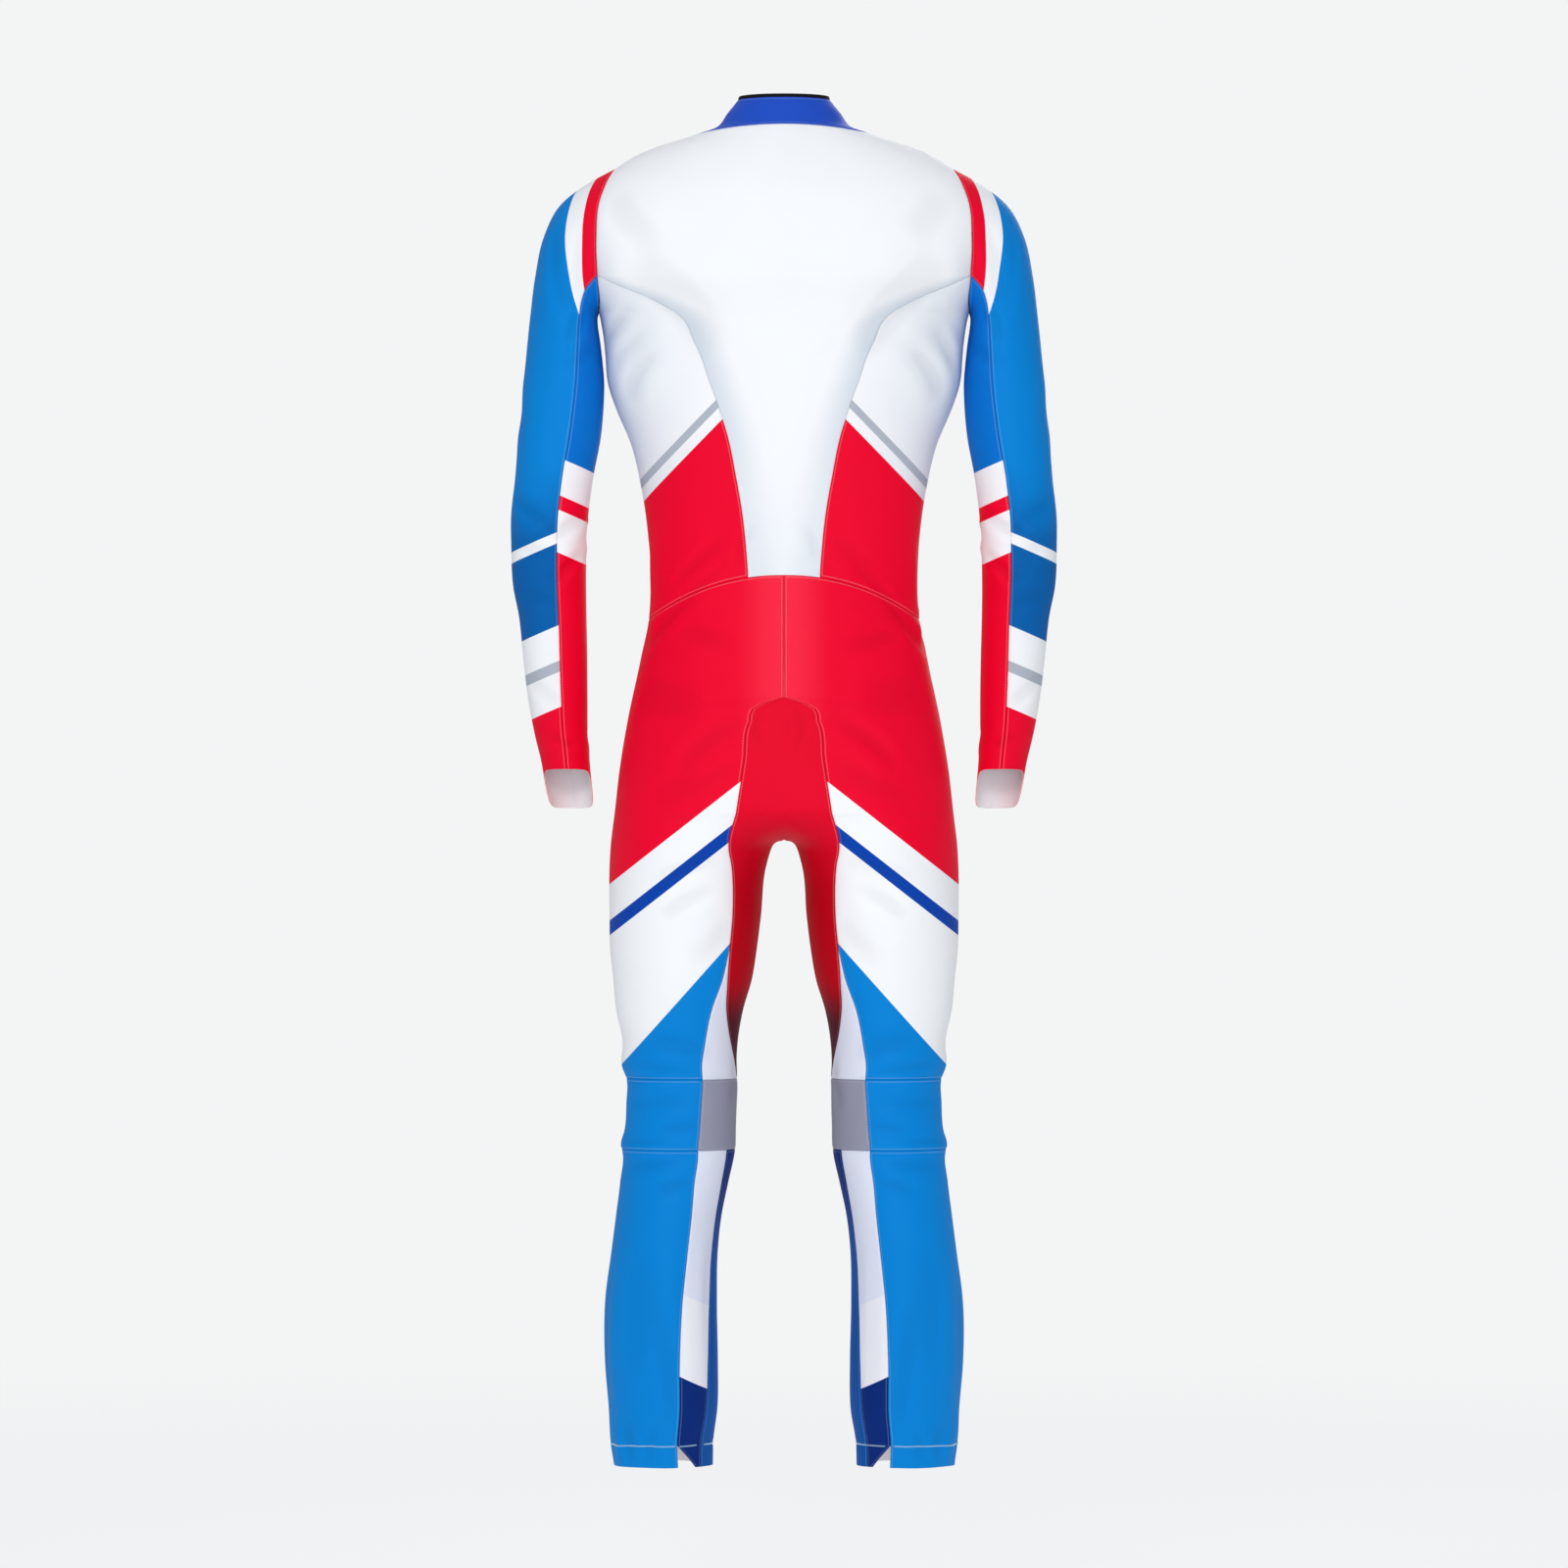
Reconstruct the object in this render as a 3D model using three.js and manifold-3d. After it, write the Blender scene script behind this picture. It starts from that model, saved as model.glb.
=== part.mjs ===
// Ski race suit, hollow and filled out as it is worn, with its back towards -Y.
// Millimetres, +Z up. The origin is the middle of the neckline, level with the seam at the nape.
import * as THREE from 'three';
import Module from 'manifold-3d';
import { mergeVertices } from 'three/addons/utils/BufferGeometryUtils.js';

const wasm = await Module();
wasm.setup();

// Cloth
const WALL = 1.5;
const BINDING_WALL = 2.4;
const SEAM_GAP = 0.3;
const SHORTEST_EDGE_SHARE = 0.45;
const SEAM_NEAR = 2;
const CLOTH_FINISH = { roughness: 0.55, metalness: 0 };
const METAL_FINISH = { roughness: 0.35, metalness: 0.9 };

// Colours
const WHITE = 0xeef2f6;
const RED = 0xe1062c;
const DARK_RED = 0xb00524;
const BLUE = 0x0a7bd6;
const SLEEVE_BLUE = 0x0566c8;
const ROYAL = 0x1d48b8;
const NAVY = 0x04357f;
const GREY = 0x9a9bb0;
const PALE_GREY = 0xd4d5e2;
const BLACK = 0x101114;
const METAL = 0x9a9ca0;

// Neckline, collar and armhole
const NECKLINE_SIDE = -8;
const SEAT_SIDE = -738;
const ARMHOLE_TOP = -44;
const ARMHOLE_BOTTOM = -200;
const ARMHOLE_MIDDLE = (ARMHOLE_TOP + ARMHOLE_BOTTOM) / 2;
const ARMHOLE_HALF = (ARMHOLE_TOP - ARMHOLE_BOTTOM) / 2;
const ARMHOLE_TURN = 30;
const ARMHOLE_STEP = 30;
const ARMHOLE_CLEAR = 0.35;

// Sleeve seams at the armhole, how far they turn at each ring, and the rings where that stops and starts
const SLEEVE_BACK_SEAM = 120;
const SLEEVE_FRONT_SEAM = 240;
const SEAM_DRIFT = 2;
const DRIFT_STOPS = 8;
const FOREARM_STARTS = 11;

// Cuff: how steeply its hem drops at the sides, and how far the sleeve widens and comes back for each
// millimetre up
const LEAN_STEEP = 3;
const CUFF_TAPER = { outer: 0.2, inner: 0.08, back: 0.08 };

// Crotch: the seat ring turns under at this share of the leg's turn
const CROTCH_DROP = 29;
const CROTCH_TURN = 135;
const CROTCH_TURNS = [135, 143, 152, 165];
const HALF_TURN = 180;
const QUARTER_TURN = 90;

// Zip
const ZIP_HALF = 5.5;
const ZIP_END_SIDE = -590;
const ZIP_CLOSED_SIDE = -592;
const GUSSET_BACK_TOP = -636;
const GUSSET_FRONT_TOP = -658;

// Torso: side is the height of the ring at its sides, and the columns give its half width, how far it
// reaches back and forward, how high it is there, and how square it is (2 is an ellipse).
const TORSO = table(['side', 'half', 'back', 'backZ', 'front', 'frontZ', 'square'], [
  [-8, 96, 64, 0, 66, -62, 2.0],
  [-21, 138, 82, -32, 80, -86, 2.1],
  [-44, 181, 98, -66, 96, -108, 2.3],
  [-70, 208, 106, -96, 107, -130, 2.5],
  [-122, 225, 112, -136, 117, -160, 2.6],
  [-162, 217, 114, -170, 121, -188, 2.6],
  [-200, 199.5, 113, -205, 122, -214, 2.5],
  [-226, 194.5, 111, -229, 121, -234, 2.45],
  [-246, 192.5, 109, -248, 120, -251, 2.4],
  [-274, 190, 106, -274, 117, -276, 2.4],
  [-310, 178, 101, -306, 112, -311, 2.35],
  [-334, 167.5, 97, -328, 109, -334, 2.3],
  [-392, 153, 89, -378, 103, -390, 2.25],
  [-450, 145.5, 84, -424, 101, -444, 2.2],
  [-490, 144, 83, -454, 100, -482, 2.2],
  [-530, 146, 85, -484, 100, -520, 2.2],
  [-575, 155, 92, -532, 100, -567, 2.2],
  [-636, 168, 104, -614, 99, -632, 2.2],
  [-690, 177, 111, -680, 96, -688, 2.35],
  [-738, 182.5, 110, -738, 93, -738, 2.6],
]);

// Collar: the same columns, from the neckline up. side is only a station here.
const COLLAR = table(['side', 'half', 'back', 'backZ', 'front', 'frontZ', 'sideZ'], [
  [0, 96, 64, 0, 66, -62, -8],
  [10, 73, 60, 7, 63, -51, 0],
  [22, 61, 55, 18, 61, -35, 15],
  [38, 50, 49, 30, 57, -17, 30],
  [42, 48.5, 48, 33.5, 56.5, -13.5, 33.5],
]);
const COLLAR_TOP = 38;
const BINDING_TOP = 42;
const COLLAR_ROWS = [BINDING_TOP, COLLAR_TOP, 22, 10, 5, 0];

// Sleeve: outer and inner points of each ring, its middle and half depth from front to back, and how
// much its back edge stands higher than its middle.
const SLEEVE = rowsOf(['outX', 'outZ', 'inX', 'inZ', 'midY', 'deep', 'lean'], [
  [214, -62, 200.8, -205, 0, 65, 0],
  [242, -85, 200.4, -212, 0, 62, 0],
  [259, -118, 199.2, -221, -1, 59, 0],
  [268, -160, 197.4, -233, -2, 56, 0],
  [273, -200, 195.4, -251, -3, 54, 0],
  [280, -268, 193.6, -284, -5, 50, 0],
  [285, -320, 197, -330, -7, 48, 0],
  [289, -376, 206, -380, -9, 46, 0],
  [294, -424, 211, -426, -10, 45, 0],
  [294, -448, 212, -448, -9, 44.5, 0],
  [292, -495, 213, -495, -5, 43, 0],
  [286, -525, 213, -527, -1, 41, 0],
  [281, -572, 212.5, -573, 5, 37.5, 0],
  [276, -616, 212, -616, 10, 34, 1],
  [269, -655, 211.5, -655, 15, 31, 5],
  [262, -684, 209.5, -684, 18, 29, 13],
  [257, -712, 207, -712, 20, 28, 21],
]);

// Leg: rings below the seat, with the outer and inner edge of each and its back and front.
const LEG = rowsOf(['z', 'outer', 'inner', 'back', 'front'], [
  [-776, 187, 13.5, 103, 87.5],
  [-795, 188, 19, 100.5, 87],
  [-850, 188, 24.5, 92.5, 86.5],
  [-884, 187.5, 29, 86.5, 85.5],
  [-918, 184, 35, 80, 84],
  [-950, 181, 44.5, 74, 80.5],
  [-984, 174, 50, 67, 77],
  [-1012, 174.5, 51, 63.5, 75.5],
  [-1024, 170, 50.5, 61, 74],
  [-1050, 170, 50.5, 59, 72],
  [-1080, 172, 51.5, 60, 69],
  [-1096, 176, 52, 63, 68],
  [-1104, 174, 53, 64, 66],
  [-1135, 176.5, 60, 69, 60],
  [-1171, 181, 67.5, 74, 55],
  [-1210, 186, 71.5, 76, 52.5],
  [-1262, 192.5, 72, 75, 51],
  [-1330, 193, 71, 70, 50],
  [-1380, 189, 72, 64, 50],
  [-1416, 187, 77, 59, 51],
  [-1440, 183.5, 77.5, 56, 52],
]);

// Rows of points down each tube
const YOKE_ROWS = [-8, -14, -21, -32];
const SIDE_ROWS = [-226, -255, -285, -315, -345, -385, -430, -480, -530];
const HIP_ROWS = [-530, -560, ZIP_END_SIDE, ZIP_CLOSED_SIDE, GUSSET_BACK_TOP, -642, GUSSET_FRONT_TOP, -685, -712,
  SEAT_SIDE];
const THIGH_ROWS = [SEAT_SIDE, -750, -763, -776, -795, -822, -850, -884, -918, -950, -984, -1012, -1024];
const KNEE_ROWS = [-1024, -1050, -1080, -1100];
const SHIN_ROWS = [-1100, -1135, -1171, -1210, -1262, -1300, -1340, -1380, -1416, -1440];
const SEAM_START_ROW = -884;

// Columns across each piece, or each half of it
const COLUMNS = {
  back: 6, sideBack: 6, front: 7, seat: 7, thighFront: 7, strip: 1, gusset: 2, kneeBack: 6, kneeFront: 7,
  kneePatch: 5, calf: 6, shin: 7, calfStrip: 2, innerShin: 4, sleeveOuter: 8, sleeveInner: 4, tape: 1,
};

// Seams, as an angle from the side of the tube by height. On the torso 90 is the centre of the back.
const PRINCESS = table(['side', 'turn'], [
  [-161, 26], [-183, 49], [-200, 59], [-236, 65], [-283, 69.5], [-334, 71.3], [-392, 73],
  [-450, 74.6], [-530, 76.7],
]);
const GUSSET_ON_BACK = table(['side', 'turn'], [
  [-636, 90], [-642, 83], [-658, 79.6], [-690, 79.2], [-738, 78.9],
]);
const GUSSET_ON_FRONT = table(['side', 'turn'], [
  [-658, 90], [-685, 83.5], [-712, 80.6], [-738, 79.4],
]);
// On the leg 180 is the middle of the inner side, and each seam has a back and a front angle.
const GUSSET_BACK = table(['z', 'turn'], [
  [-738, 118.35], [-776, 118.5], [-795, 124.5], [-850, 129], [-884, 129.5], [-918, 131.5], [-950, 139], [-984, 153],
  [-1012, 171], [-1024, 177],
]);
const GUSSET_FRONT = table(['z', 'turn'], [
  [-738, 119.1], [-776, 121], [-795, 126], [-850, 130.5], [-884, 131.5], [-918, 134], [-950, 142], [-984, 155],
  [-1012, 171], [-1024, 177],
]);
const INSEAM_BACK = table(['z', 'turn'], [
  [-884, 129.5], [-918, 126], [-950, 121.5], [-984, 117], [-1024, 113], [-1100, 111], [-1135, 113],
  [-1171, 117], [-1210, 117], [-1262, 113.5], [-1340, 109.5], [-1416, 109], [-1440, 109],
]);
const INSEAM_FRONT = table(['z', 'turn'], [
  [-884, 131.5], [-918, 129.5], [-950, 128], [-984, 127], [-1024, 126], [-1100, 125], [-1440, 122],
]);
const STRIP_INNER = table(['z', 'turn'], [
  [-1100, 149], [-1171, 155], [-1240, 152], [-1300, 148], [-1416, 142], [-1440, 141],
]);

// The slit in the hem, at the seam between the calf and its strip
const SLIT_TOP = -1416;
const SLIT_TURN = 24;
const HEM = -1440;

// Zip slider and pull tab, measured from the tab's axis: down the zip, out from the cloth and across.
const SLIDER_STATION = 31;
const SLIDER_SPAN = 2;
const SLIDER_CLEAR = 0.3;
const SLIDER = { wide: 8.6, narrow: 5.4, above: 6, below: 7, thick: 3.2 };
const BRIDGE = { wide: 2.4, reach: 3.5, bar: 1.1, hole: 2.9, sunk: 0.4 };
const TAB = {
  thick: 1.4, bar: 1.4, wide: 7.6, end: 6, window: 4.4, windowLong: 6.6, long: 25, corner: 2, hole: 2.2, holeUp: 4.5,
  holeSides: 8,
};
const SURFACE_STEP = 0.01;
const MERGE = 1e-3;
const SAME_POINT = 0.01;
const SHARE_STEPS = 1e4;

// Tables
function rowsOf(names, rows) {
  return rows.map((row) => Object.fromEntries(names.map((name, i) => [name, row[i]])));
}

function slope(knots, values, i) {
  const last = knots.length - 1;
  if (i === 0) return (values[1] - values[0]) / (knots[1] - knots[0]);
  if (i === last) return (values[last] - values[last - 1]) / (knots[last] - knots[last - 1]);
  const before = knots[i] - knots[i - 1];
  const after = knots[i + 1] - knots[i];
  const rising = (values[i] - values[i - 1]) / before;
  const falling = (values[i + 1] - values[i]) / after;
  return (rising * after + falling * before) / (before + after);
}

// A smooth curve through values at rising knots.
function through(knots, values, at) {
  const last = knots.length - 1;
  let i = 0;
  while (i < last - 1 && at > knots[i + 1]) i += 1;
  const gap = knots[i + 1] - knots[i];
  const t = Math.min(1, Math.max(0, (at - knots[i]) / gap));
  const [t2, t3] = [t * t, t * t * t];
  return (2 * t3 - 3 * t2 + 1) * values[i] + (t3 - 2 * t2 + t) * gap * slope(knots, values, i)
    + (3 * t2 - 2 * t3) * values[i + 1] + (t3 - t2) * gap * slope(knots, values, i + 1);
}

// A table read by its first column, which falls or rises steadily.
function table(names, rows) {
  const sign = Math.sign(rows[1][0] - rows[0][0]);
  const knots = rows.map((row) => sign * row[0]);
  const columns = names.map((name, i) => rows.map((row) => row[i]));
  return (at) => Object.fromEntries(names.map((name, i) => [name, through(knots, columns[i], sign * at)]));
}

// Angles in degrees, and powers that keep their sign
const cos = (turn) => Math.cos((turn * Math.PI) / HALF_TURN);
const sin = (turn) => Math.sin((turn * Math.PI) / HALF_TURN);
const signedPower = (value, power) => Math.sign(value) * Math.abs(value) ** power;
const mix = (a, b, t) => a + (b - a) * t;
const lerpPoint = (a, b, t) => [0, 1, 2].map((k) => mix(a[k], b[k], t));
const minus = (a, b) => [0, 1, 2].map((k) => a[k] - b[k]);
const plus = (a, b, times = 1) => [0, 1, 2].map((k) => a[k] + b[k] * times);
const length = (a) => Math.hypot(...a);
const dot = (a, b) => a[0] * b[0] + a[1] * b[1] + a[2] * b[2];
const unit = (a) => a.map((v) => v / (length(a) || 1));
const cross = (a, b) => [a[1] * b[2] - a[2] * b[1], a[2] * b[0] - a[0] * b[2], a[0] * b[1] - a[1] * b[0]];

// Torso ring: turn is 0 at the side, 90 at the centre of the back and -90 at the centre of the front.
function torsoPoint(turn, side) {
  const ring = TORSO(side);
  const [c, s] = [cos(turn), sin(turn)];
  const power = 2 / ring.square;
  const reach = s > 0 ? -ring.back : -ring.front;
  const endZ = s > 0 ? ring.backZ : ring.frontZ;
  return [ring.half * signedPower(c, power), reach * signedPower(s, power), mix(side, endZ, s * s)];
}

function collarPoint(turn, station) {
  const ring = COLLAR(station);
  const [c, s] = [cos(turn), sin(turn)];
  const reach = s > 0 ? -ring.back : -ring.front;
  const endZ = s > 0 ? ring.backZ : ring.frontZ;
  return [ring.half * c, reach * s, mix(ring.sideZ, endZ, s * s)];
}

// Armhole loop on the torso: 0 is the shoulder point, 90 the back and 180 the underarm.
const armholeSide = (turn) => ARMHOLE_MIDDLE + ARMHOLE_HALF * cos(turn);
const armholeTurn = (turn) => ARMHOLE_TURN * sin(turn);
const armholePoint = (turn) => torsoPoint(armholeTurn(turn), armholeSide(turn));

function sleeveRing(ring, turn) {
  const middle = [(ring.outX + ring.inX) / 2, (ring.outZ + ring.inZ) / 2];
  const reach = [(ring.outX - ring.inX) / 2, (ring.outZ - ring.inZ) / 2];
  const rise = (ring.lean * Math.tanh(LEAN_STEEP * sin(turn))) / Math.tanh(LEAN_STEEP);
  const taper = mix(CUFF_TAPER.inner, CUFF_TAPER.outer, (1 + cos(turn)) / 2);
  return [
    middle[0] + reach[0] * cos(turn) + taper * rise,
    ring.midY - ring.deep * sin(turn) - CUFF_TAPER.back * rise,
    middle[1] + reach[1] * cos(turn) + rise,
  ];
}

// The sleeve runs from the armhole through its rings. A station is a ring's number.
const sleeveSections = [
  (turn) => plus(armholePoint(turn), [ARMHOLE_CLEAR, 0, 0]),
  ...SLEEVE.map((ring) => (turn) => sleeveRing(ring, turn)),
];
const SLEEVE_ROWS = sleeveSections.map((section, i) => i);
const sleeveKnots = knotsOf(sleeveSections);

// The leg starts at the seat ring and the crotch curve, and runs through its rings.
function crotchPoint(turn) {
  const past = (Math.abs(turn) - CROTCH_TURN) / (HALF_TURN - CROTCH_TURN);
  if (past <= 0) return torsoPoint((turn * QUARTER_TURN) / CROTCH_TURN, SEAT_SIDE);
  const ring = TORSO(SEAT_SIDE);
  const reach = turn > 0 ? -ring.back : ring.front;
  return [0, reach * cos(past * QUARTER_TURN), SEAT_SIDE - CROTCH_DROP * sin(past * QUARTER_TURN)];
}

function legRing(ring, turn) {
  const reach = sin(turn) > 0 ? -ring.back : -ring.front;
  return [(ring.outer + ring.inner) / 2 + ((ring.outer - ring.inner) / 2) * cos(turn), reach * sin(turn), ring.z];
}

const legSections = [crotchPoint, ...LEG.map((ring) => (turn) => legRing(ring, turn))];
const legHeights = [SEAT_SIDE, ...LEG.map((ring) => ring.z)];

function knotsOf(sections) {
  const knots = [0];
  const middle = (section) => lerpPoint(section(0), section(HALF_TURN), 1 / 2);
  for (let i = 1; i < sections.length; i += 1) {
    knots.push(knots[i - 1] + length(minus(middle(sections[i]), middle(sections[i - 1]))));
  }
  return knots;
}

function loft(sections, knots, turn, at) {
  const points = sections.map((section) => section(turn));
  return [0, 1, 2].map((k) => through(knots, points.map((p) => p[k]), at));
}

function sleevePoint(turn, station) {
  const i = Math.min(Math.floor(station), sleeveKnots.length - 2);
  return loft(sleeveSections, sleeveKnots, turn, mix(sleeveKnots[i], sleeveKnots[i + 1], station - i));
}

// Each leg point is found between the rings above and below its height.
function legPoint(turn, z) {
  return loft(legSections, legHeights.map((height) => -height), turn, -z);
}

// The outward direction of a surface at a point. flip turns it for tubes that run downward.
function outward(surface, turn, at, step) {
  const along = minus(surface(turn + SURFACE_STEP, at), surface(turn - SURFACE_STEP, at));
  const down = minus(surface(turn, at + step), surface(turn, at - step));
  return unit(cross(along, down));
}

// A vertex: its point on the cloth's outer face and the direction outward there.
function vertex(surface, turn, at, down, inside) {
  const point = surface(turn, at);
  const normal = outward(surface, turn, inside(at), down);
  if (Math.abs(point[0]) < MERGE) normal[0] = 0;
  return { point, normal: unit(normal) };
}

const keepWithin = (low, high) => (at) => Math.min(high - 1 / 2, Math.max(low + 1 / 2, at));
const onTorso = (turn, side) => vertex(torsoPoint, turn, side, -SURFACE_STEP, keepWithin(SEAT_SIDE, NECKLINE_SIDE));
const onLeg = (turn, z) => (z > SEAT_SIDE - MERGE && Math.abs(turn) <= CROTCH_TURN + MERGE
  ? onTorso((turn * QUARTER_TURN) / CROTCH_TURN, SEAT_SIDE)
  : vertex(legPoint, turn, z, -SURFACE_STEP, keepWithin(legHeights.at(-1), SEAT_SIDE)));
const onSleeve = (turn, station) => vertex(sleevePoint, turn, station, SURFACE_STEP,
  (at) => Math.min(sleeveKnots.length - 1 - SURFACE_STEP, Math.max(SURFACE_STEP, at)));
const onCollar = (turn, station) => vertex(collarPoint, turn, station, -SURFACE_STEP, keepWithin(0, BINDING_TOP));

// A grid of vertices: one row for each station, with columns shared out between two edges.
function patch(surface, rows, from, to, shares) {
  const list = Array.isArray(shares) ? shares : [...Array(shares + 1).keys()].map((i) => i / shares);
  return rows.map((row) => list.map((share) => surface(mix(from(row), to(row), share), row)));
}

const mirrored = (grid) => grid.map((row) => row.map(({ point, normal }) => ({
  point: [-point[0], point[1], point[2]], normal: [-normal[0], normal[1], normal[2]],
})).reverse());
const constant = (value) => () => value;

// The cloth piece that covers several grids: shared vertices and the triangles between them.
function clothPiece(name, grids, color, wall = WALL) {
  const vertices = [];
  const found = new Map();
  const faces = [];
  const indexOf = (made) => {
    const key = made.point.map((v) => Math.round(v / SAME_POINT)).join();
    if (!found.has(key)) {
      found.set(key, vertices.length);
      vertices.push(made);
    }
    return found.get(key);
  };
  for (const grid of grids) {
    for (let i = 0; i + 1 < grid.length; i += 1) {
      for (let j = 0; j + 1 < grid[i].length; j += 1) {
        const corners = [grid[i][j], grid[i][j + 1], grid[i + 1][j + 1], grid[i + 1][j]].map(indexOf);
        const ring = corners.filter((c, k) => c !== corners[(k + 1) % corners.length]);
        const across = (k) => length(minus(vertices[ring[k]].point, vertices[ring[k + 2]].point));
        const first = ring.length === 4 && across(1) < across(0) ? 1 : 0;
        const turned = [...ring.slice(first), ...ring.slice(0, first)];
        for (let k = 2; k < turned.length; k += 1) faces.push([turned[0], turned[k - 1], turned[k]]);
      }
    }
  }
  return { name, vertices, faces, color, wall };
}

// The edges of a piece that only one triangle uses.
function rimOf({ faces }) {
  const edges = new Map();
  for (const face of faces) face.forEach((a, k) => edges.set(`${a},${face[(k + 1) % 3]}`, [a, face[(k + 1) % 3]]));
  return [...edges.values()].filter(([a, b]) => !edges.has(`${b},${a}`));
}

// Pieces that meet at a seam share its points: each takes its neighbours' points into its own edge.
function shareSeams(pieces) {
  const rims = pieces.map((piece) => rimOf(piece));
  const ends = pieces.map((piece, i) => [...new Set(rims[i].flat())].map((v) => piece.vertices[v]));
  pieces.forEach((piece, i) => {
    const others = ends.filter((list, k) => k !== i).flat();
    for (const [a, b] of rims[i]) {
      const start = piece.vertices[a].point;
      const along = minus(piece.vertices[b].point, start);
      const long = length(along);
      const between = new Map();
      for (const made of others) {
        const from = minus(made.point, start);
        const share = dot(from, along) / (long * long);
        if (share * long < SEAM_NEAR / 2 || (1 - share) * long < SEAM_NEAR / 2) continue;
        const apart = length(plus(from, along, -share));
        if (apart < SEAM_NEAR) between.set(Math.round(share * SHARE_STEPS), { share, made });
      }
      if (!between.size) continue;
      const added = [...between.values()].sort((p, q) => p.share - q.share).map(({ made }) => {
        piece.vertices.push(made);
        return piece.vertices.length - 1;
      });
      const at = piece.faces.findIndex((face) => face.some((v, k) => v === a && face[(k + 1) % 3] === b));
      const third = piece.faces[at].find((v) => v !== a && v !== b);
      const chain = [a, ...added, b];
      piece.faces.splice(at, 1, ...chain.slice(1).map((v, k) => [chain[k], v, third]));
    }
  });
}

// Both pieces at a seam split its side faces the same way: the higher end comes first, then the inner one.
const comesFirst = (a, b) => (a[2] === b[2] ? Math.abs(a[0]) + a[1] < Math.abs(b[0]) + b[1] : a[2] > b[2]);

// One closed wall, with its edges drawn in at each seam.
function wallOf(piece) {
  const { vertices, faces, wall } = piece;
  const rim = rimOf(piece);
  const drawn = vertices.map(() => []);
  for (const [a, b] of rim) {
    const along = unit(minus(vertices[b].point, vertices[a].point));
    for (const end of [a, b]) drawn[end].push(unit(cross(vertices[end].normal, along)));
  }
  const outer = vertices.map(({ point }, i) => {
    if (!drawn[i].length) return point;
    const middle = unit(drawn[i].reduce((sum, way) => plus(sum, way), [0, 0, 0]));
    return plus(point, middle, SEAM_GAP / 2 / Math.max(dot(middle, drawn[i][0]), SHORTEST_EDGE_SHARE));
  });
  const inner = outer.map((point, i) => plus(point, vertices[i].normal, -wall));
  const count = vertices.length;
  const index = [];
  for (const [a, b, c] of faces) index.push(a, b, c, a + count, c + count, b + count);
  for (const [a, b] of rim) {
    if (comesFirst(vertices[a].point, vertices[b].point)) index.push(b, a, b + count, a, a + count, b + count);
    else index.push(b, a, a + count, b, a + count, b + count);
  }
  const geometry = new THREE.BufferGeometry();
  geometry.setAttribute('position', new THREE.Float32BufferAttribute([...outer, ...inner].flat(), 3));
  geometry.setIndex(index);
  return geometry;
}

// The group and how pieces join it
const suit = new THREE.Group();
const clothPieces = [];

function add(name, geometry, color, finish = CLOTH_FINISH) {
  geometry.computeVertexNormals();
  const mesh = new THREE.Mesh(geometry, new THREE.MeshStandardMaterial({ color, ...finish }));
  mesh.name = name;
  suit.add(mesh);
}

function addCloth(name, grids, color, wall) {
  clothPieces.push(clothPiece(name, grids, color, wall));
}

function addPair(name, grids, color) {
  addCloth(`${name}_right`, grids, color);
  addCloth(`${name}_left`, grids.map(mirrored), color);
}

// Edges on the torso
const armholeTurns = [];
for (let turn = 0; turn <= HALF_TURN; turn += ARMHOLE_STEP) armholeTurns.push(turn);
const ARMHOLE_ROWS = armholeTurns.map(armholeSide);
const armholeEdge = (side) => {
  const share = (side - ARMHOLE_MIDDLE) / ARMHOLE_HALF;
  return Math.abs(share) >= 1 ? 0 : ARMHOLE_TURN * Math.sqrt(1 - share * share);
};
const princessStart = armholeSide(SLEEVE_BACK_SEAM);
const backEdge = (side) => (side > princessStart - MERGE ? armholeEdge(side) : PRINCESS(side).turn);
// The turn at which the front of a ring is a given distance from the centre
const turnAtX = (half, square, x) => (Math.acos((x / half) ** (square / 2)) * HALF_TURN) / Math.PI;
const zipEdge = (side) => turnAtX(TORSO(side).half, TORSO(side).square, ZIP_HALF);
const frontCentre = (side) => (side > ZIP_CLOSED_SIDE + MERGE ? zipEdge(side) : QUARTER_TURN);
const collarZipEdge = (station) => turnAtX(COLLAR(station).half, 2, ZIP_HALF);

function torso() {
  const upper = [...YOKE_ROWS, ...ARMHOLE_ROWS, ...SIDE_ROWS];
  const half = patch(onTorso, upper, backEdge, constant(QUARTER_TURN), COLUMNS.back);
  addCloth('back_centre', [half, mirrored(half)], WHITE);
  const sideRows = upper.filter((side) => side < princessStart + MERGE);
  addPair('side_back', [patch(onTorso, sideRows, armholeEdge, backEdge, COLUMNS.sideBack)], RED);
  const front = patch(onTorso, upper, (side) => -zipEdge(side), (side) => -armholeEdge(side), COLUMNS.front);
  addPair('front', [front], WHITE);
}

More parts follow.
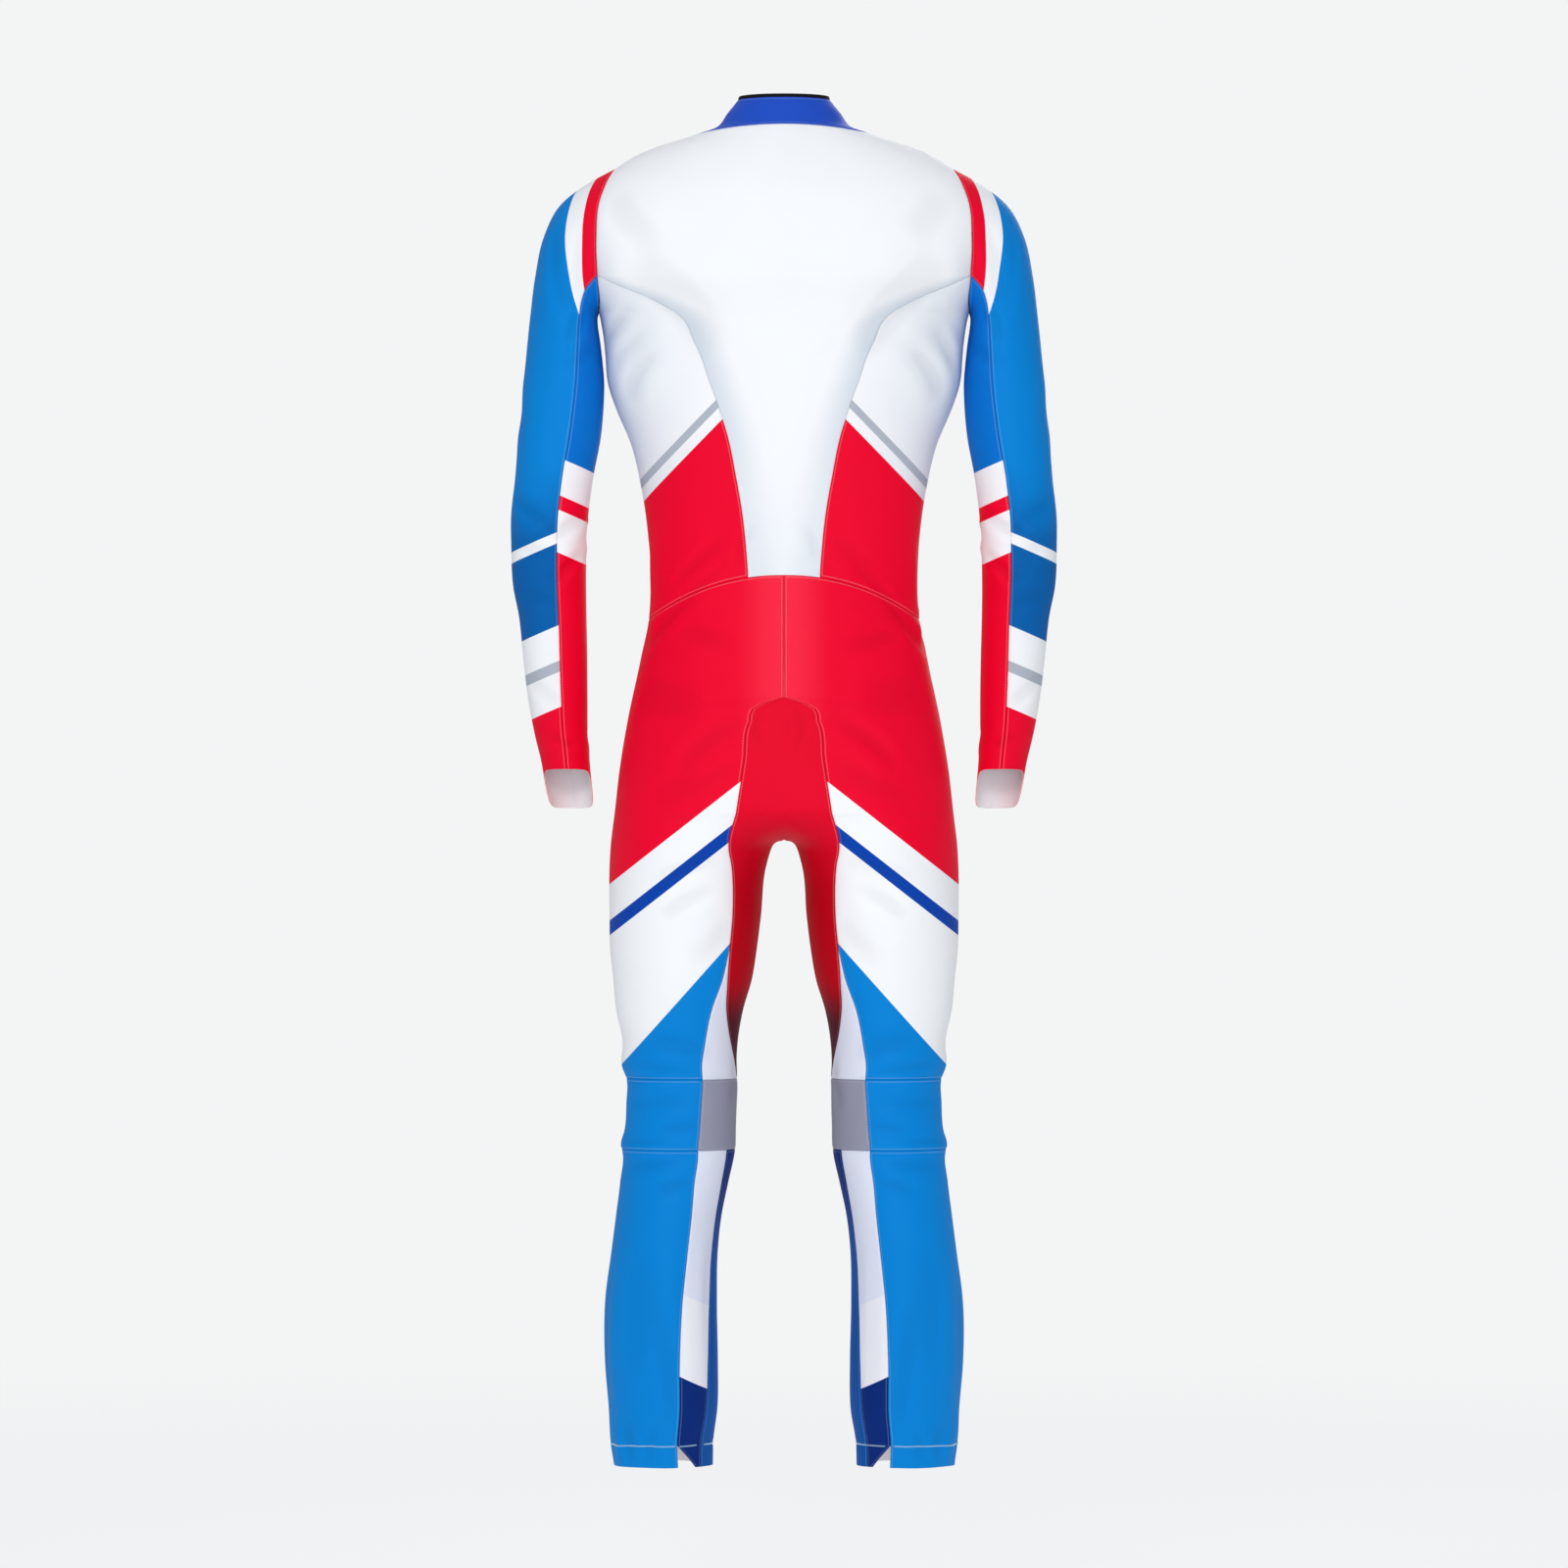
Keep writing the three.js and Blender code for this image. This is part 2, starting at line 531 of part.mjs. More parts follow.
function seatAndThighs() {
  const backIn = (side) => (side > GUSSET_BACK_TOP + MERGE ? QUARTER_TURN : GUSSET_ON_BACK(side).turn);
  const frontIn = (side) => (side > GUSSET_FRONT_TOP + MERGE ? frontCentre(side) : GUSSET_ON_FRONT(side).turn);
  const backTurn = (z) => (z < SEAM_START_ROW + MERGE ? INSEAM_BACK(z).turn : GUSSET_BACK(z).turn);
  const frontTurn = (z) => (z < SEAM_START_ROW + MERGE ? INSEAM_FRONT(z).turn : GUSSET_FRONT(z).turn);
  addPair('seat_and_thigh', [
    patch(onTorso, HIP_ROWS, constant(0), backIn, COLUMNS.seat),
    patch(onLeg, THIGH_ROWS, constant(0), backTurn, COLUMNS.seat),
  ], RED);
  addPair('thigh_front', [
    patch(onTorso, HIP_ROWS, (side) => -frontIn(side), constant(0), COLUMNS.thighFront),
    patch(onLeg, THIGH_ROWS, (z) => -frontTurn(z), constant(0), COLUMNS.thighFront),
  ], WHITE);
  const rows = THIGH_ROWS.filter((z) => z < SEAM_START_ROW + MERGE);
  const back = patch(onLeg, rows, (z) => INSEAM_BACK(z).turn, (z) => GUSSET_BACK(z).turn, COLUMNS.strip);
  const front = patch(onLeg, rows, (z) => -GUSSET_FRONT(z).turn, (z) => -INSEAM_FRONT(z).turn, COLUMNS.strip);
  addPair('inner_thigh_back', [back], PALE_GREY);
  addPair('inner_thigh_front', [front], PALE_GREY);
}

function gusset() {
  const backRows = HIP_ROWS.filter((side) => side < GUSSET_BACK_TOP + MERGE);
  const frontRows = HIP_ROWS.filter((side) => side < GUSSET_FRONT_TOP + MERGE);
  const back = patch(onTorso, backRows, (side) => GUSSET_ON_BACK(side).turn, constant(QUARTER_TURN), COLUMNS.gusset);
  const front = patch(onTorso, frontRows, constant(-QUARTER_TURN), (side) => -GUSSET_ON_FRONT(side).turn,
    COLUMNS.gusset);
  const first = GUSSET_BACK(SEAT_SIDE).turn;
  const last = 2 * HALF_TURN - GUSSET_FRONT(SEAT_SIDE).turn;
  const under = CROTCH_TURNS.map((turn) => 2 * HALF_TURN - turn).reverse();
  const topTurns = [first, (first + CROTCH_TURN) / 2, ...CROTCH_TURNS, HALF_TURN, ...under,
    (2 * HALF_TURN - CROTCH_TURN + last) / 2, last];
  const shares = topTurns.map((turn) => (turn - first) / (last - first));
  const around = (turn, z) => onLeg(turn > HALF_TURN + MERGE ? turn - 2 * HALF_TURN : turn, z);
  const tails = patch(around, THIGH_ROWS, (z) => GUSSET_BACK(z).turn, (z) => 2 * HALF_TURN - GUSSET_FRONT(z).turn,
    shares);
  const right = [back, front, tails];
  addCloth('gusset', [...right, ...right.map(mirrored)], DARK_RED);
}

function kneesAndShins() {
  const back = (z) => INSEAM_BACK(z).turn;
  const front = (z) => -INSEAM_FRONT(z).turn;
  const around = (turn, z) => onLeg(turn > HALF_TURN ? turn - 2 * HALF_TURN : turn, z);
  const frontAround = (z) => 2 * HALF_TURN + front(z);
  addPair('knee_back', [patch(onLeg, KNEE_ROWS, constant(0), back, COLUMNS.kneeBack)], BLUE);
  addPair('knee_front', [patch(onLeg, KNEE_ROWS, front, constant(0), COLUMNS.kneeFront)], BLUE);
  addPair('knee_patch', [patch(around, KNEE_ROWS, back, frontAround, COLUMNS.kneePatch)], GREY);
  addPair('calf', [patch(onLeg, SHIN_ROWS, constant(0), back, COLUMNS.calf)], BLUE);
  addPair('shin', [patch(onLeg, SHIN_ROWS, front, constant(0), COLUMNS.shin)], BLUE);
  const stripInner = (z) => STRIP_INNER(z).turn;
  const slit = (z) => back(z) + SLIT_TURN * Math.max(0, (SLIT_TOP - z) / (SLIT_TOP - HEM));
  addPair('calf_strip', [patch(onLeg, SHIN_ROWS, slit, stripInner, COLUMNS.calfStrip)], PALE_GREY);
  addPair('inner_shin', [patch(around, SHIN_ROWS, stripInner, frontAround, COLUMNS.innerShin)], NAVY);
}

function sleeves() {
  const drift = (station) => SEAM_DRIFT * Math.min(station, DRIFT_STOPS);
  const backSeam = (station) => SLEEVE_BACK_SEAM - drift(station) - SEAM_DRIFT * Math.max(0, station - FOREARM_STARTS);
  const frontSeam = (station) => SLEEVE_FRONT_SEAM + drift(station);
  const outerStart = (station) => frontSeam(station) - 2 * HALF_TURN;
  addPair('sleeve_outer', [patch(onSleeve, SLEEVE_ROWS, outerStart, backSeam, COLUMNS.sleeveOuter)], BLUE);
  addPair('sleeve_inner', [patch(onSleeve, SLEEVE_ROWS, backSeam, frontSeam, COLUMNS.sleeveInner)], SLEEVE_BLUE);
}

// The collar runs from one side of the zip round the nape to the other.
function collar() {
  const wrap = (rows) => {
    const half = [
      patch(onCollar, rows, (station) => -collarZipEdge(station), constant(0), COLUMNS.front),
      patch(onCollar, rows, constant(0), constant(QUARTER_TURN), COLUMNS.back),
    ];
    return [...half, ...half.map(mirrored)];
  };
  addCloth('collar', wrap(COLLAR_ROWS.slice(1)), ROYAL);
  addCloth('collar_binding', wrap(COLLAR_ROWS.slice(0, 2)), BLACK, BINDING_WALL);
}

function zipTapes() {
  const lowest = HIP_ROWS.filter((side) => side < SIDE_ROWS.at(-1) && side > ZIP_END_SIDE);
  const torsoRows = [...YOKE_ROWS, ...ARMHOLE_ROWS, ...SIDE_ROWS, ...lowest, ZIP_END_SIDE + SEAM_GAP];
  const centre = constant(-QUARTER_TURN);
  addPair('zip_tape', [
    patch(onCollar, COLLAR_ROWS, centre, (station) => -collarZipEdge(station), COLUMNS.tape),
    patch(onTorso, torsoRows, centre, (side) => -zipEdge(side), COLUMNS.tape),
  ], BLACK);
}

// Solids for the slider and its tab
function solidOf(geometry) {
  geometry.deleteAttribute('normal');
  geometry.deleteAttribute('uv');
  const merged = mergeVertices(geometry, MERGE);
  return new wasm.Manifold(new wasm.Mesh({
    numProp: 3,
    vertProperties: new Float32Array(merged.attributes.position.array),
    triVerts: new Uint32Array(merged.index.array),
  }));
}

function geometryOf(solid) {
  const mesh = solid.getMesh();
  const geometry = new THREE.BufferGeometry();
  geometry.setAttribute('position', new THREE.BufferAttribute(new Float32Array(mesh.vertProperties), 3));
  geometry.setIndex(new THREE.BufferAttribute(new Uint32Array(mesh.triVerts), 1));
  return geometry;
}

function shapeOf(points) {
  return new THREE.Shape(points.map(([x, y]) => new THREE.Vector2(x, y)));
}

const flat = { bevelEnabled: false, steps: 1 };

// In the hardware's own frame X is across, Y is up the zip and Z is out from the cloth.
function placeOnZip() {
  const at = collarPoint(-QUARTER_TURN, SLIDER_STATION);
  const above = collarPoint(-QUARTER_TURN, SLIDER_STATION + SLIDER_SPAN);
  const below = collarPoint(-QUARTER_TURN, SLIDER_STATION - SLIDER_SPAN);
  const up = new THREE.Vector3(...unit(minus(above, below)));
  const across = new THREE.Vector3(-1, 0, 0);
  const out = new THREE.Vector3().crossVectors(across, up);
  return new THREE.Matrix4().makeBasis(across, up, out).setPosition(...at);
}

function slider() {
  const place = placeOnZip();
  const { wide, narrow, above, below, thick } = SLIDER;
  const outline = shapeOf([[-narrow / 2, -below], [narrow / 2, -below], [wide / 2, 0], [wide / 2, above],
    [-wide / 2, above], [-wide / 2, 0]]);
  const plate = new THREE.ExtrudeGeometry(outline, { ...flat, depth: thick });
  plate.translate(0, 0, SLIDER_CLEAR);
  const face = thick + SLIDER_CLEAR;
  const foot = face - BRIDGE.sunk;
  const roof = face + BRIDGE.hole;
  const arch = shapeOf([[-BRIDGE.reach, foot], [BRIDGE.reach, foot], [BRIDGE.reach, roof],
    [BRIDGE.reach - BRIDGE.bar, roof + BRIDGE.bar], [BRIDGE.bar - BRIDGE.reach, roof + BRIDGE.bar],
    [-BRIDGE.reach, roof]]);
  const inside = BRIDGE.reach - BRIDGE.bar;
  arch.holes.push(shapeOf([[-inside, face], [-inside, roof], [inside, roof], [inside, face]]));
  const bridge = new THREE.ExtrudeGeometry(arch, { ...flat, depth: BRIDGE.wide });
  bridge.translate(0, 0, -BRIDGE.wide / 2);
  bridge.applyMatrix4(new THREE.Matrix4().makeBasis(new THREE.Vector3(0, 1, 0), new THREE.Vector3(0, 0, 1),
    new THREE.Vector3(1, 0, 0)));
  const body = geometryOf(solidOf(plate).add(solidOf(bridge)));
  body.applyMatrix4(place);
  add('zip_slider', body, METAL, METAL_FINISH);
}

function pullTab() {
  const { thick, bar, wide, end, window, windowLong, long, corner, hole, holeUp, holeSides } = TAB;
  const outline = shapeOf([[-wide / 2, bar / 2], [-wide / 2, -windowLong], [-end / 2, corner - long], [-end / 4, -long],
    [end / 4, -long], [end / 2, corner - long], [wide / 2, -windowLong], [wide / 2, bar / 2]]);
  outline.holes.push(shapeOf([[-window / 2, -bar / 2], [window / 2, -bar / 2], [window / 2, bar / 2 - windowLong],
    [-window / 2, bar / 2 - windowLong]]));
  const round = new THREE.Path();
  round.absarc(0, holeUp - long, hole / 2, 0, 2 * Math.PI, true);
  outline.holes.push(round);
  const tab = new THREE.ExtrudeGeometry(outline, { ...flat, depth: thick, curveSegments: holeSides });
  tab.translate(0, 0, SLIDER_CLEAR + SLIDER.thick + BRIDGE.hole / 2 - thick / 2);
  tab.applyMatrix4(placeOnZip());
  add('zip_pull_tab', geometryOf(solidOf(tab)), METAL, METAL_FINISH);
}

torso();
seatAndThighs();
gusset();
kneesAndShins();
sleeves();
collar();
zipTapes();
shareSeams(clothPieces);
for (const piece of clothPieces) add(piece.name, wallOf(piece), piece.color);
slider();
pullTab();

export default suit;
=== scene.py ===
"""Looks for a ski race suit. Metres in the scene, millimetres in the tables, with the back towards -Y."""
import math

import bpy
import numpy as np
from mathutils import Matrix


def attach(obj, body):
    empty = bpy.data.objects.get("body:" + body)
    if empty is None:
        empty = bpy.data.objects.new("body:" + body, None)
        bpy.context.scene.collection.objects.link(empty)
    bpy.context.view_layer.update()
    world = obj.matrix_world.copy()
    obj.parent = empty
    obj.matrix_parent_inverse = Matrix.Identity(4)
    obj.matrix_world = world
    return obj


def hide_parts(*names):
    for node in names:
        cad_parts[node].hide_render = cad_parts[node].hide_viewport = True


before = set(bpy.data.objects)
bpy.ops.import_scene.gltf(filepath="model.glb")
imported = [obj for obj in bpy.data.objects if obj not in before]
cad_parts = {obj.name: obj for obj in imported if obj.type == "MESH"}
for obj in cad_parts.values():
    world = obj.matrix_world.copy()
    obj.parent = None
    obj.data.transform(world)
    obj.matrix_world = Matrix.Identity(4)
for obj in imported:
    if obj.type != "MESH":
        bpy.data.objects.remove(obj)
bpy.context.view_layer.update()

# Sizes of the cloth and its mesh
MM = 0.001
WALL = 1.3
STRETCH = 1.08
NARROWEST_CUT = 10.0
LEAST_FILL = 0.32
SPACING = 5.0
SEAM_HALF = 0.01
NEAR_SEAM = [0.8, 1.9, 3.6]
GROOVE_DEEP = 0.6
GROOVE_WIDE = 1.4
STEP = 0.01
INSET = 0.5
SAME = 0.02
TOUCH = 0.001
SMALLEST = 1e-12
SEAM_HOLDS = 6
FULL_TURN = 360.0
HALF_TURN = 180.0
QUARTER_TURN = 90.0

# Heights and seams
NECKLINE = -8.0
WAIST = -530.0
SEAT = -738.0
KNEE_TOP = -1024.0
KNEE_END = -1100.0
HEM = -1440.0
HEM_STITCH = -1417.0
SLIT_TOP = -1416.0
SLIT_TURN = 24.0
ARMHOLE_TOP = -44.0
ARMHOLE_BOTTOM = -200.0
ARMHOLE_TURN = 30.0
ARMHOLE_CLEAR = 0.35
SLEEVE_BACK_SEAM = 120.0
SLEEVE_FRONT_SEAM = 240.0
SEAM_DRIFT = 2.0
DRIFT_STOPS = 8.0
FOREARM_STARTS = 11.0
LEAN_STEEP = 3.0
CUFF_TAPER = {"outer": 0.2, "inner": 0.08, "back": 0.08}
CROTCH_DROP = 29.0
CROTCH_TURN = 135.0
ZIP_HALF = 5.5
ZIP_END = -590.0
ZIP_CLOSED = -592.0
GUSSET_BACK_TOP = -636.0
GUSSET_FRONT_TOP = -658.0
INSEAM_START = -884.0
COLLAR_TOP = 38.0
BINDING_TOP = 42.0


# Curves and tables
def through(knots, values, at):
    """A smooth curve through values (knot, point, column) at rising knots."""
    knots = np.asarray(knots, float)
    values = np.asarray(values, float)
    gaps = np.diff(knots)
    rises = np.diff(values, axis=0) / gaps[:, None, None]
    slopes = np.empty_like(values)
    slopes[0], slopes[-1] = rises[0], rises[-1]
    before, after = gaps[:-1, None, None], gaps[1:, None, None]
    slopes[1:-1] = (rises[:-1] * after + rises[1:] * before) / (before + after)
    i = np.clip(np.searchsorted(knots, at, "left") - 1, 0, len(knots) - 2)
    gap = gaps[i]
    t = np.clip((at - knots[i]) / gap, 0, 1)
    who = np.arange(len(at)) if values.shape[1] > 1 else np.zeros(len(at), int)
    t, gap = t[:, None], gap[:, None]
    t2, t3 = t * t, t * t * t
    return ((2 * t3 - 3 * t2 + 1) * values[i, who] + (t3 - 2 * t2 + t) * gap * slopes[i, who]
            + (3 * t2 - 2 * t3) * values[i + 1, who] + (t3 - t2) * gap * slopes[i + 1, who])


def table(names, rows):
    """Reads a table by its first column, which falls or rises steadily."""
    values = np.array(rows, float)
    sign = np.sign(values[1, 0] - values[0, 0])

    def read(at):
        at = np.atleast_1d(np.asarray(at, float))
        found = through(sign * values[:, 0], values[:, None, :], sign * at)
        return {name: found[:, k] for k, name in enumerate(names)}

    return read


def seam_line(rows):
    """Reads a seam's angle from the side of its tube, by height."""
    read = table(["at", "turn"], rows)
    return lambda at: read(at)["turn"]


def travelled(points, axis=0):
    """How far each point lies from the first one, along a path or one way across a grid."""
    steps = np.linalg.norm(np.diff(points, axis=axis), axis=-1)
    return np.concatenate([0 * np.take(steps, [0], axis), np.cumsum(steps, axis)], axis)


def unit(vectors):
    return vectors / np.maximum(np.linalg.norm(vectors, axis=-1, keepdims=True), SMALLEST)


def numbers(value):
    return np.atleast_1d(np.asarray(value, float))


def cos(turn):
    return np.cos(np.radians(turn))


def sin(turn):
    return np.sin(np.radians(turn))


def signed_power(value, power):
    return np.sign(value) * np.abs(value) ** power


def mix(a, b, t):
    return a + (b - a) * t


# Torso: side is the height of the ring at its sides
TORSO = table(["side", "half", "back", "back_z", "front", "front_z", "square"], [
    [-8, 96, 64, 0, 66, -62, 2.0],
    [-21, 138, 82, -32, 80, -86, 2.1],
    [-44, 181, 98, -66, 96, -108, 2.3],
    [-70, 208, 106, -96, 107, -130, 2.5],
    [-122, 225, 112, -136, 117, -160, 2.6],
    [-162, 217, 114, -170, 121, -188, 2.6],
    [-200, 199.5, 113, -205, 122, -214, 2.5],
    [-226, 194.5, 111, -229, 121, -234, 2.45],
    [-246, 192.5, 109, -248, 120, -251, 2.4],
    [-274, 190, 106, -274, 117, -276, 2.4],
    [-310, 178, 101, -306, 112, -311, 2.35],
    [-334, 167.5, 97, -328, 109, -334, 2.3],
    [-392, 153, 89, -378, 103, -390, 2.25],
    [-450, 145.5, 84, -424, 101, -444, 2.2],
    [-490, 144, 83, -454, 100, -482, 2.2],
    [-530, 146, 85, -484, 100, -520, 2.2],
    [-575, 155, 92, -532, 100, -567, 2.2],
    [-636, 168, 104, -614, 99, -632, 2.2],
    [-690, 177, 111, -680, 96, -688, 2.35],
    [-738, 182.5, 110, -738, 93, -738, 2.6],
])
COLLAR = table(["side", "half", "back", "back_z", "front", "front_z", "side_z"], [
    [0, 96, 64, 0, 66, -62, -8],
    [10, 73, 60, 7, 63, -51, 0],
    [22, 61, 55, 18, 61, -35, 15],
    [38, 50, 49, 30, 57, -17, 30],
    [42, 48.5, 48, 33.5, 56.5, -13.5, 33.5],
])
# Sleeve: out_x, out_z, in_x, in_z, mid_y, deep, lean
SLEEVE = np.array([
    [214, -62, 200.8, -205, 0, 65, 0],
    [242, -85, 200.4, -212, 0, 62, 0],
    [259, -118, 199.2, -221, -1, 59, 0],
    [268, -160, 197.4, -233, -2, 56, 0],
    [273, -200, 195.4, -251, -3, 54, 0],
    [280, -268, 193.6, -284, -5, 50, 0],
    [285, -320, 197, -330, -7, 48, 0],
    [289, -376, 206, -380, -9, 46, 0],
    [294, -424, 211, -426, -10, 45, 0],
    [294, -448, 212, -448, -9, 44.5, 0],
    [292, -495, 213, -495, -5, 43, 0],
    [286, -525, 213, -527, -1, 41, 0],
    [281, -572, 212.5, -573, 5, 37.5, 0],
    [276, -616, 212, -616, 10, 34, 1],
    [269, -655, 211.5, -655, 15, 31, 5],
    [262, -684, 209.5, -684, 18, 29, 13],
    [257, -712, 207, -712, 20, 28, 21],
])
SLEEVE_END = float(len(SLEEVE))
# Leg: z, outer, inner, back, front
LEG = np.array([
    [-776, 187, 13.5, 103, 87.5],
    [-795, 188, 19, 100.5, 87],
    [-850, 188, 24.5, 92.5, 86.5],
    [-884, 187.5, 29, 86.5, 85.5],
    [-918, 184, 35, 80, 84],
    [-950, 181, 44.5, 74, 80.5],
    [-984, 174, 50, 67, 77],
    [-1012, 174.5, 51, 63.5, 75.5],
    [-1024, 170, 50.5, 61, 74],
    [-1050, 170, 50.5, 59, 72],
    [-1080, 172, 51.5, 60, 69],
    [-1096, 176, 52, 63, 68],
    [-1104, 174, 53, 64, 66],
    [-1135, 176.5, 60, 69, 60],
    [-1171, 181, 67.5, 74, 55],
    [-1210, 186, 71.5, 76, 52.5],
    [-1262, 192.5, 72, 75, 51],
    [-1330, 193, 71, 70, 50],
    [-1380, 189, 72, 64, 50],
    [-1416, 187, 77, 59, 51],
    [-1440, 183.5, 77.5, 56, 52],
])
# Seams, as an angle from the side of the tube by height
PRINCESS = seam_line([
    [-161, 26], [-183, 49], [-200, 59], [-236, 65], [-283, 69.5], [-334, 71.3], [-392, 73], [-450, 74.6],
    [-530, 76.7],
])
GUSSET_ON_BACK = seam_line([[-636, 90], [-642, 83], [-658, 79.6], [-690, 79.2], [-738, 78.9]])
GUSSET_ON_FRONT = seam_line([[-658, 90], [-685, 83.5], [-712, 80.6], [-738, 79.4]])
GUSSET_BACK = seam_line([
    [-738, 118.35], [-776, 118.5], [-795, 124.5], [-850, 129], [-884, 129.5], [-918, 131.5], [-950, 139],
    [-984, 153], [-1012, 171], [-1024, 177],
])
GUSSET_FRONT = seam_line([
    [-738, 119.1], [-776, 121], [-795, 126], [-850, 130.5], [-884, 131.5], [-918, 134], [-950, 142],
    [-984, 155], [-1012, 171], [-1024, 177],
])
INSEAM_BACK = seam_line([
    [-884, 129.5], [-918, 126], [-950, 121.5], [-984, 117], [-1024, 113], [-1100, 111], [-1135, 113],
    [-1171, 117], [-1210, 117], [-1262, 113.5], [-1340, 109.5], [-1416, 109], [-1440, 109],
])
INSEAM_FRONT = seam_line([
    [-884, 131.5], [-918, 129.5], [-950, 128], [-984, 127], [-1024, 126], [-1100, 125], [-1440, 122],
])
STRIP_INNER = seam_line([
    [-1100, 149], [-1171, 155], [-1240, 152], [-1300, 148], [-1416, 142], [-1440, 141],
])


# The tubes that the cloth lies on: turn is 0 at the outer side, 90 at the back and 180 at the inner side
def ring_point(ring, turn, side_z, power):
    c, s = cos(turn), sin(turn)
    reach = np.where(s > 0, -ring["back"], -ring["front"])
    end_z = np.where(s > 0, ring["back_z"], ring["front_z"])
    across, deep = ring["half"] * signed_power(c, power), reach * signed_power(s, power)
    return np.stack([across, deep, mix(side_z, end_z, s * s)], axis=1)


def torso_point(turn, side):
    turn, side = np.broadcast_arrays(numbers(turn), numbers(side))
    ring = TORSO(side)
    return ring_point(ring, turn, side, 2 / ring["square"])


def collar_point(turn, station):
    turn, station = np.broadcast_arrays(numbers(turn), numbers(station))
    ring = COLLAR(station)
    return ring_point(ring, turn, ring["side_z"], 1)


def armhole_side(turn):
    return (ARMHOLE_TOP + ARMHOLE_BOTTOM) / 2 + (ARMHOLE_TOP - ARMHOLE_BOTTOM) / 2 * cos(turn)


def armhole_point(turn):
    return torso_point(ARMHOLE_TURN * sin(turn), armhole_side(turn))


def armhole_edge(side):
    share = (numbers(side) - (ARMHOLE_TOP + ARMHOLE_BOTTOM) / 2) / ((ARMHOLE_TOP - ARMHOLE_BOTTOM) / 2)
    return ARMHOLE_TURN * np.sqrt(np.clip(1 - share * share, 0, 1))


def sleeve_rings(turn):
    """Points of every sleeve section at these turns: (section, point, xyz)."""
    turn = numbers(turn)
    out_x, out_z, in_x, in_z, mid_y, deep, lean = (SLEEVE[:, k, None] for k in range(7))
    rise = lean * np.tanh(LEAN_STEEP * sin(turn)) / math.tanh(LEAN_STEEP)
    taper = mix(CUFF_TAPER["inner"], CUFF_TAPER["outer"], (1 + cos(turn)) / 2)
    rings = np.stack([
        (out_x + in_x) / 2 + (out_x - in_x) / 2 * cos(turn) + taper * rise,
        mid_y - deep * sin(turn) - CUFF_TAPER["back"] * rise,
        (out_z + in_z) / 2 + (out_z - in_z) / 2 * cos(turn) + rise,
    ], axis=2)
    return np.concatenate([(armhole_point(turn) + [ARMHOLE_CLEAR, 0, 0])[None], rings])


middles = (sleeve_rings(0)[:, 0] + sleeve_rings(HALF_TURN)[:, 0]) / 2
SLEEVE_KNOTS = travelled(middles)


def sleeve_point(turn, station):
    turn, station = np.broadcast_arrays(numbers(turn), numbers(station))
    at = np.interp(station, np.arange(len(SLEEVE_KNOTS)), SLEEVE_KNOTS)
    return through(SLEEVE_KNOTS, sleeve_rings(turn), at)


def crotch_point(turn):
    turn = numbers(turn)
    past = (np.abs(turn) - CROTCH_TURN) / (HALF_TURN - CROTCH_TURN)
    seat = torso_point(np.clip(turn * QUARTER_TURN / CROTCH_TURN, -QUARTER_TURN, QUARTER_TURN), SEAT)
    ring = TORSO(SEAT)
    reach = np.where(turn > 0, -ring["back"], ring["front"])
    fall = SEAT - CROTCH_DROP * sin(past * QUARTER_TURN)
    under = np.stack([0 * turn, reach * cos(past * QUARTER_TURN), fall], axis=1)
    return np.where((past <= 0)[:, None], seat, under)


LEG_HEIGHTS = np.concatenate([[SEAT], LEG[:, 0]])


def leg_point(turn, z):
    turn, z = np.broadcast_arrays(numbers(turn), numbers(z))
    turn = np.where(turn > HALF_TURN, turn - FULL_TURN, turn)
    height, outer, inner, back, front = (LEG[:, k, None] for k in range(5))
    reach = np.where(sin(turn) > 0, -back, -front)
    rings = np.stack([
        (outer + inner) / 2 + (outer - inner) / 2 * cos(turn), reach * sin(turn),
        np.broadcast_to(height, reach.shape),
    ], axis=2)
    return through(-LEG_HEIGHTS, np.concatenate([crotch_point(turn)[None], rings]), -z)


def on_tube(surface, down, low, high):
    """Reads a tube's points, and the outward directions there."""
    def read(turn, at):
        inside = np.clip(at, low, high)
        along = surface(turn + STEP, inside) - surface(turn - STEP, inside)
        fall = surface(turn, inside + down) - surface(turn, inside - down)
        return surface(turn, at), unit(np.cross(along, fall))

    return read


on_torso = on_tube(torso_point, -STEP, SEAT + INSET, NECKLINE - INSET)
on_collar = on_tube(collar_point, -STEP, INSET, BINDING_TOP - INSET)
on_sleeve = on_tube(sleeve_point, STEP, STEP, SLEEVE_END - STEP)
below_seat = on_tube(leg_point, -STEP, HEM + INSET, SEAT - INSET)


def on_leg(turn, z):
    """The leg's points. Where it starts, at the seat, its directions are the torso's."""
    turn = np.where(turn > HALF_TURN, turn - FULL_TURN, turn)
    point, normal = below_seat(turn, z)
    top = (z > SEAT - STEP) & (np.abs(turn) <= CROTCH_TURN)
    seat = on_torso(turn * QUARTER_TURN / CROTCH_TURN, np.full_like(z, SEAT))[1]
    return point, np.where(top[:, None], seat, normal)


# Rows down each tube
ROW_STEP = {"yoke": 1.6, "torso": 4.8, "leg": 4.5, "hem": 2.2, "sleeve": 4.4, "collar": 2.6}
YOKE_STARTS = (0, 0.25, 0.6, 1.2)
YOKE_SECOND = 2.6
ARMHOLE_COUNT = 55
ROW_CLEAR = 1.2
CORNER = 1.5


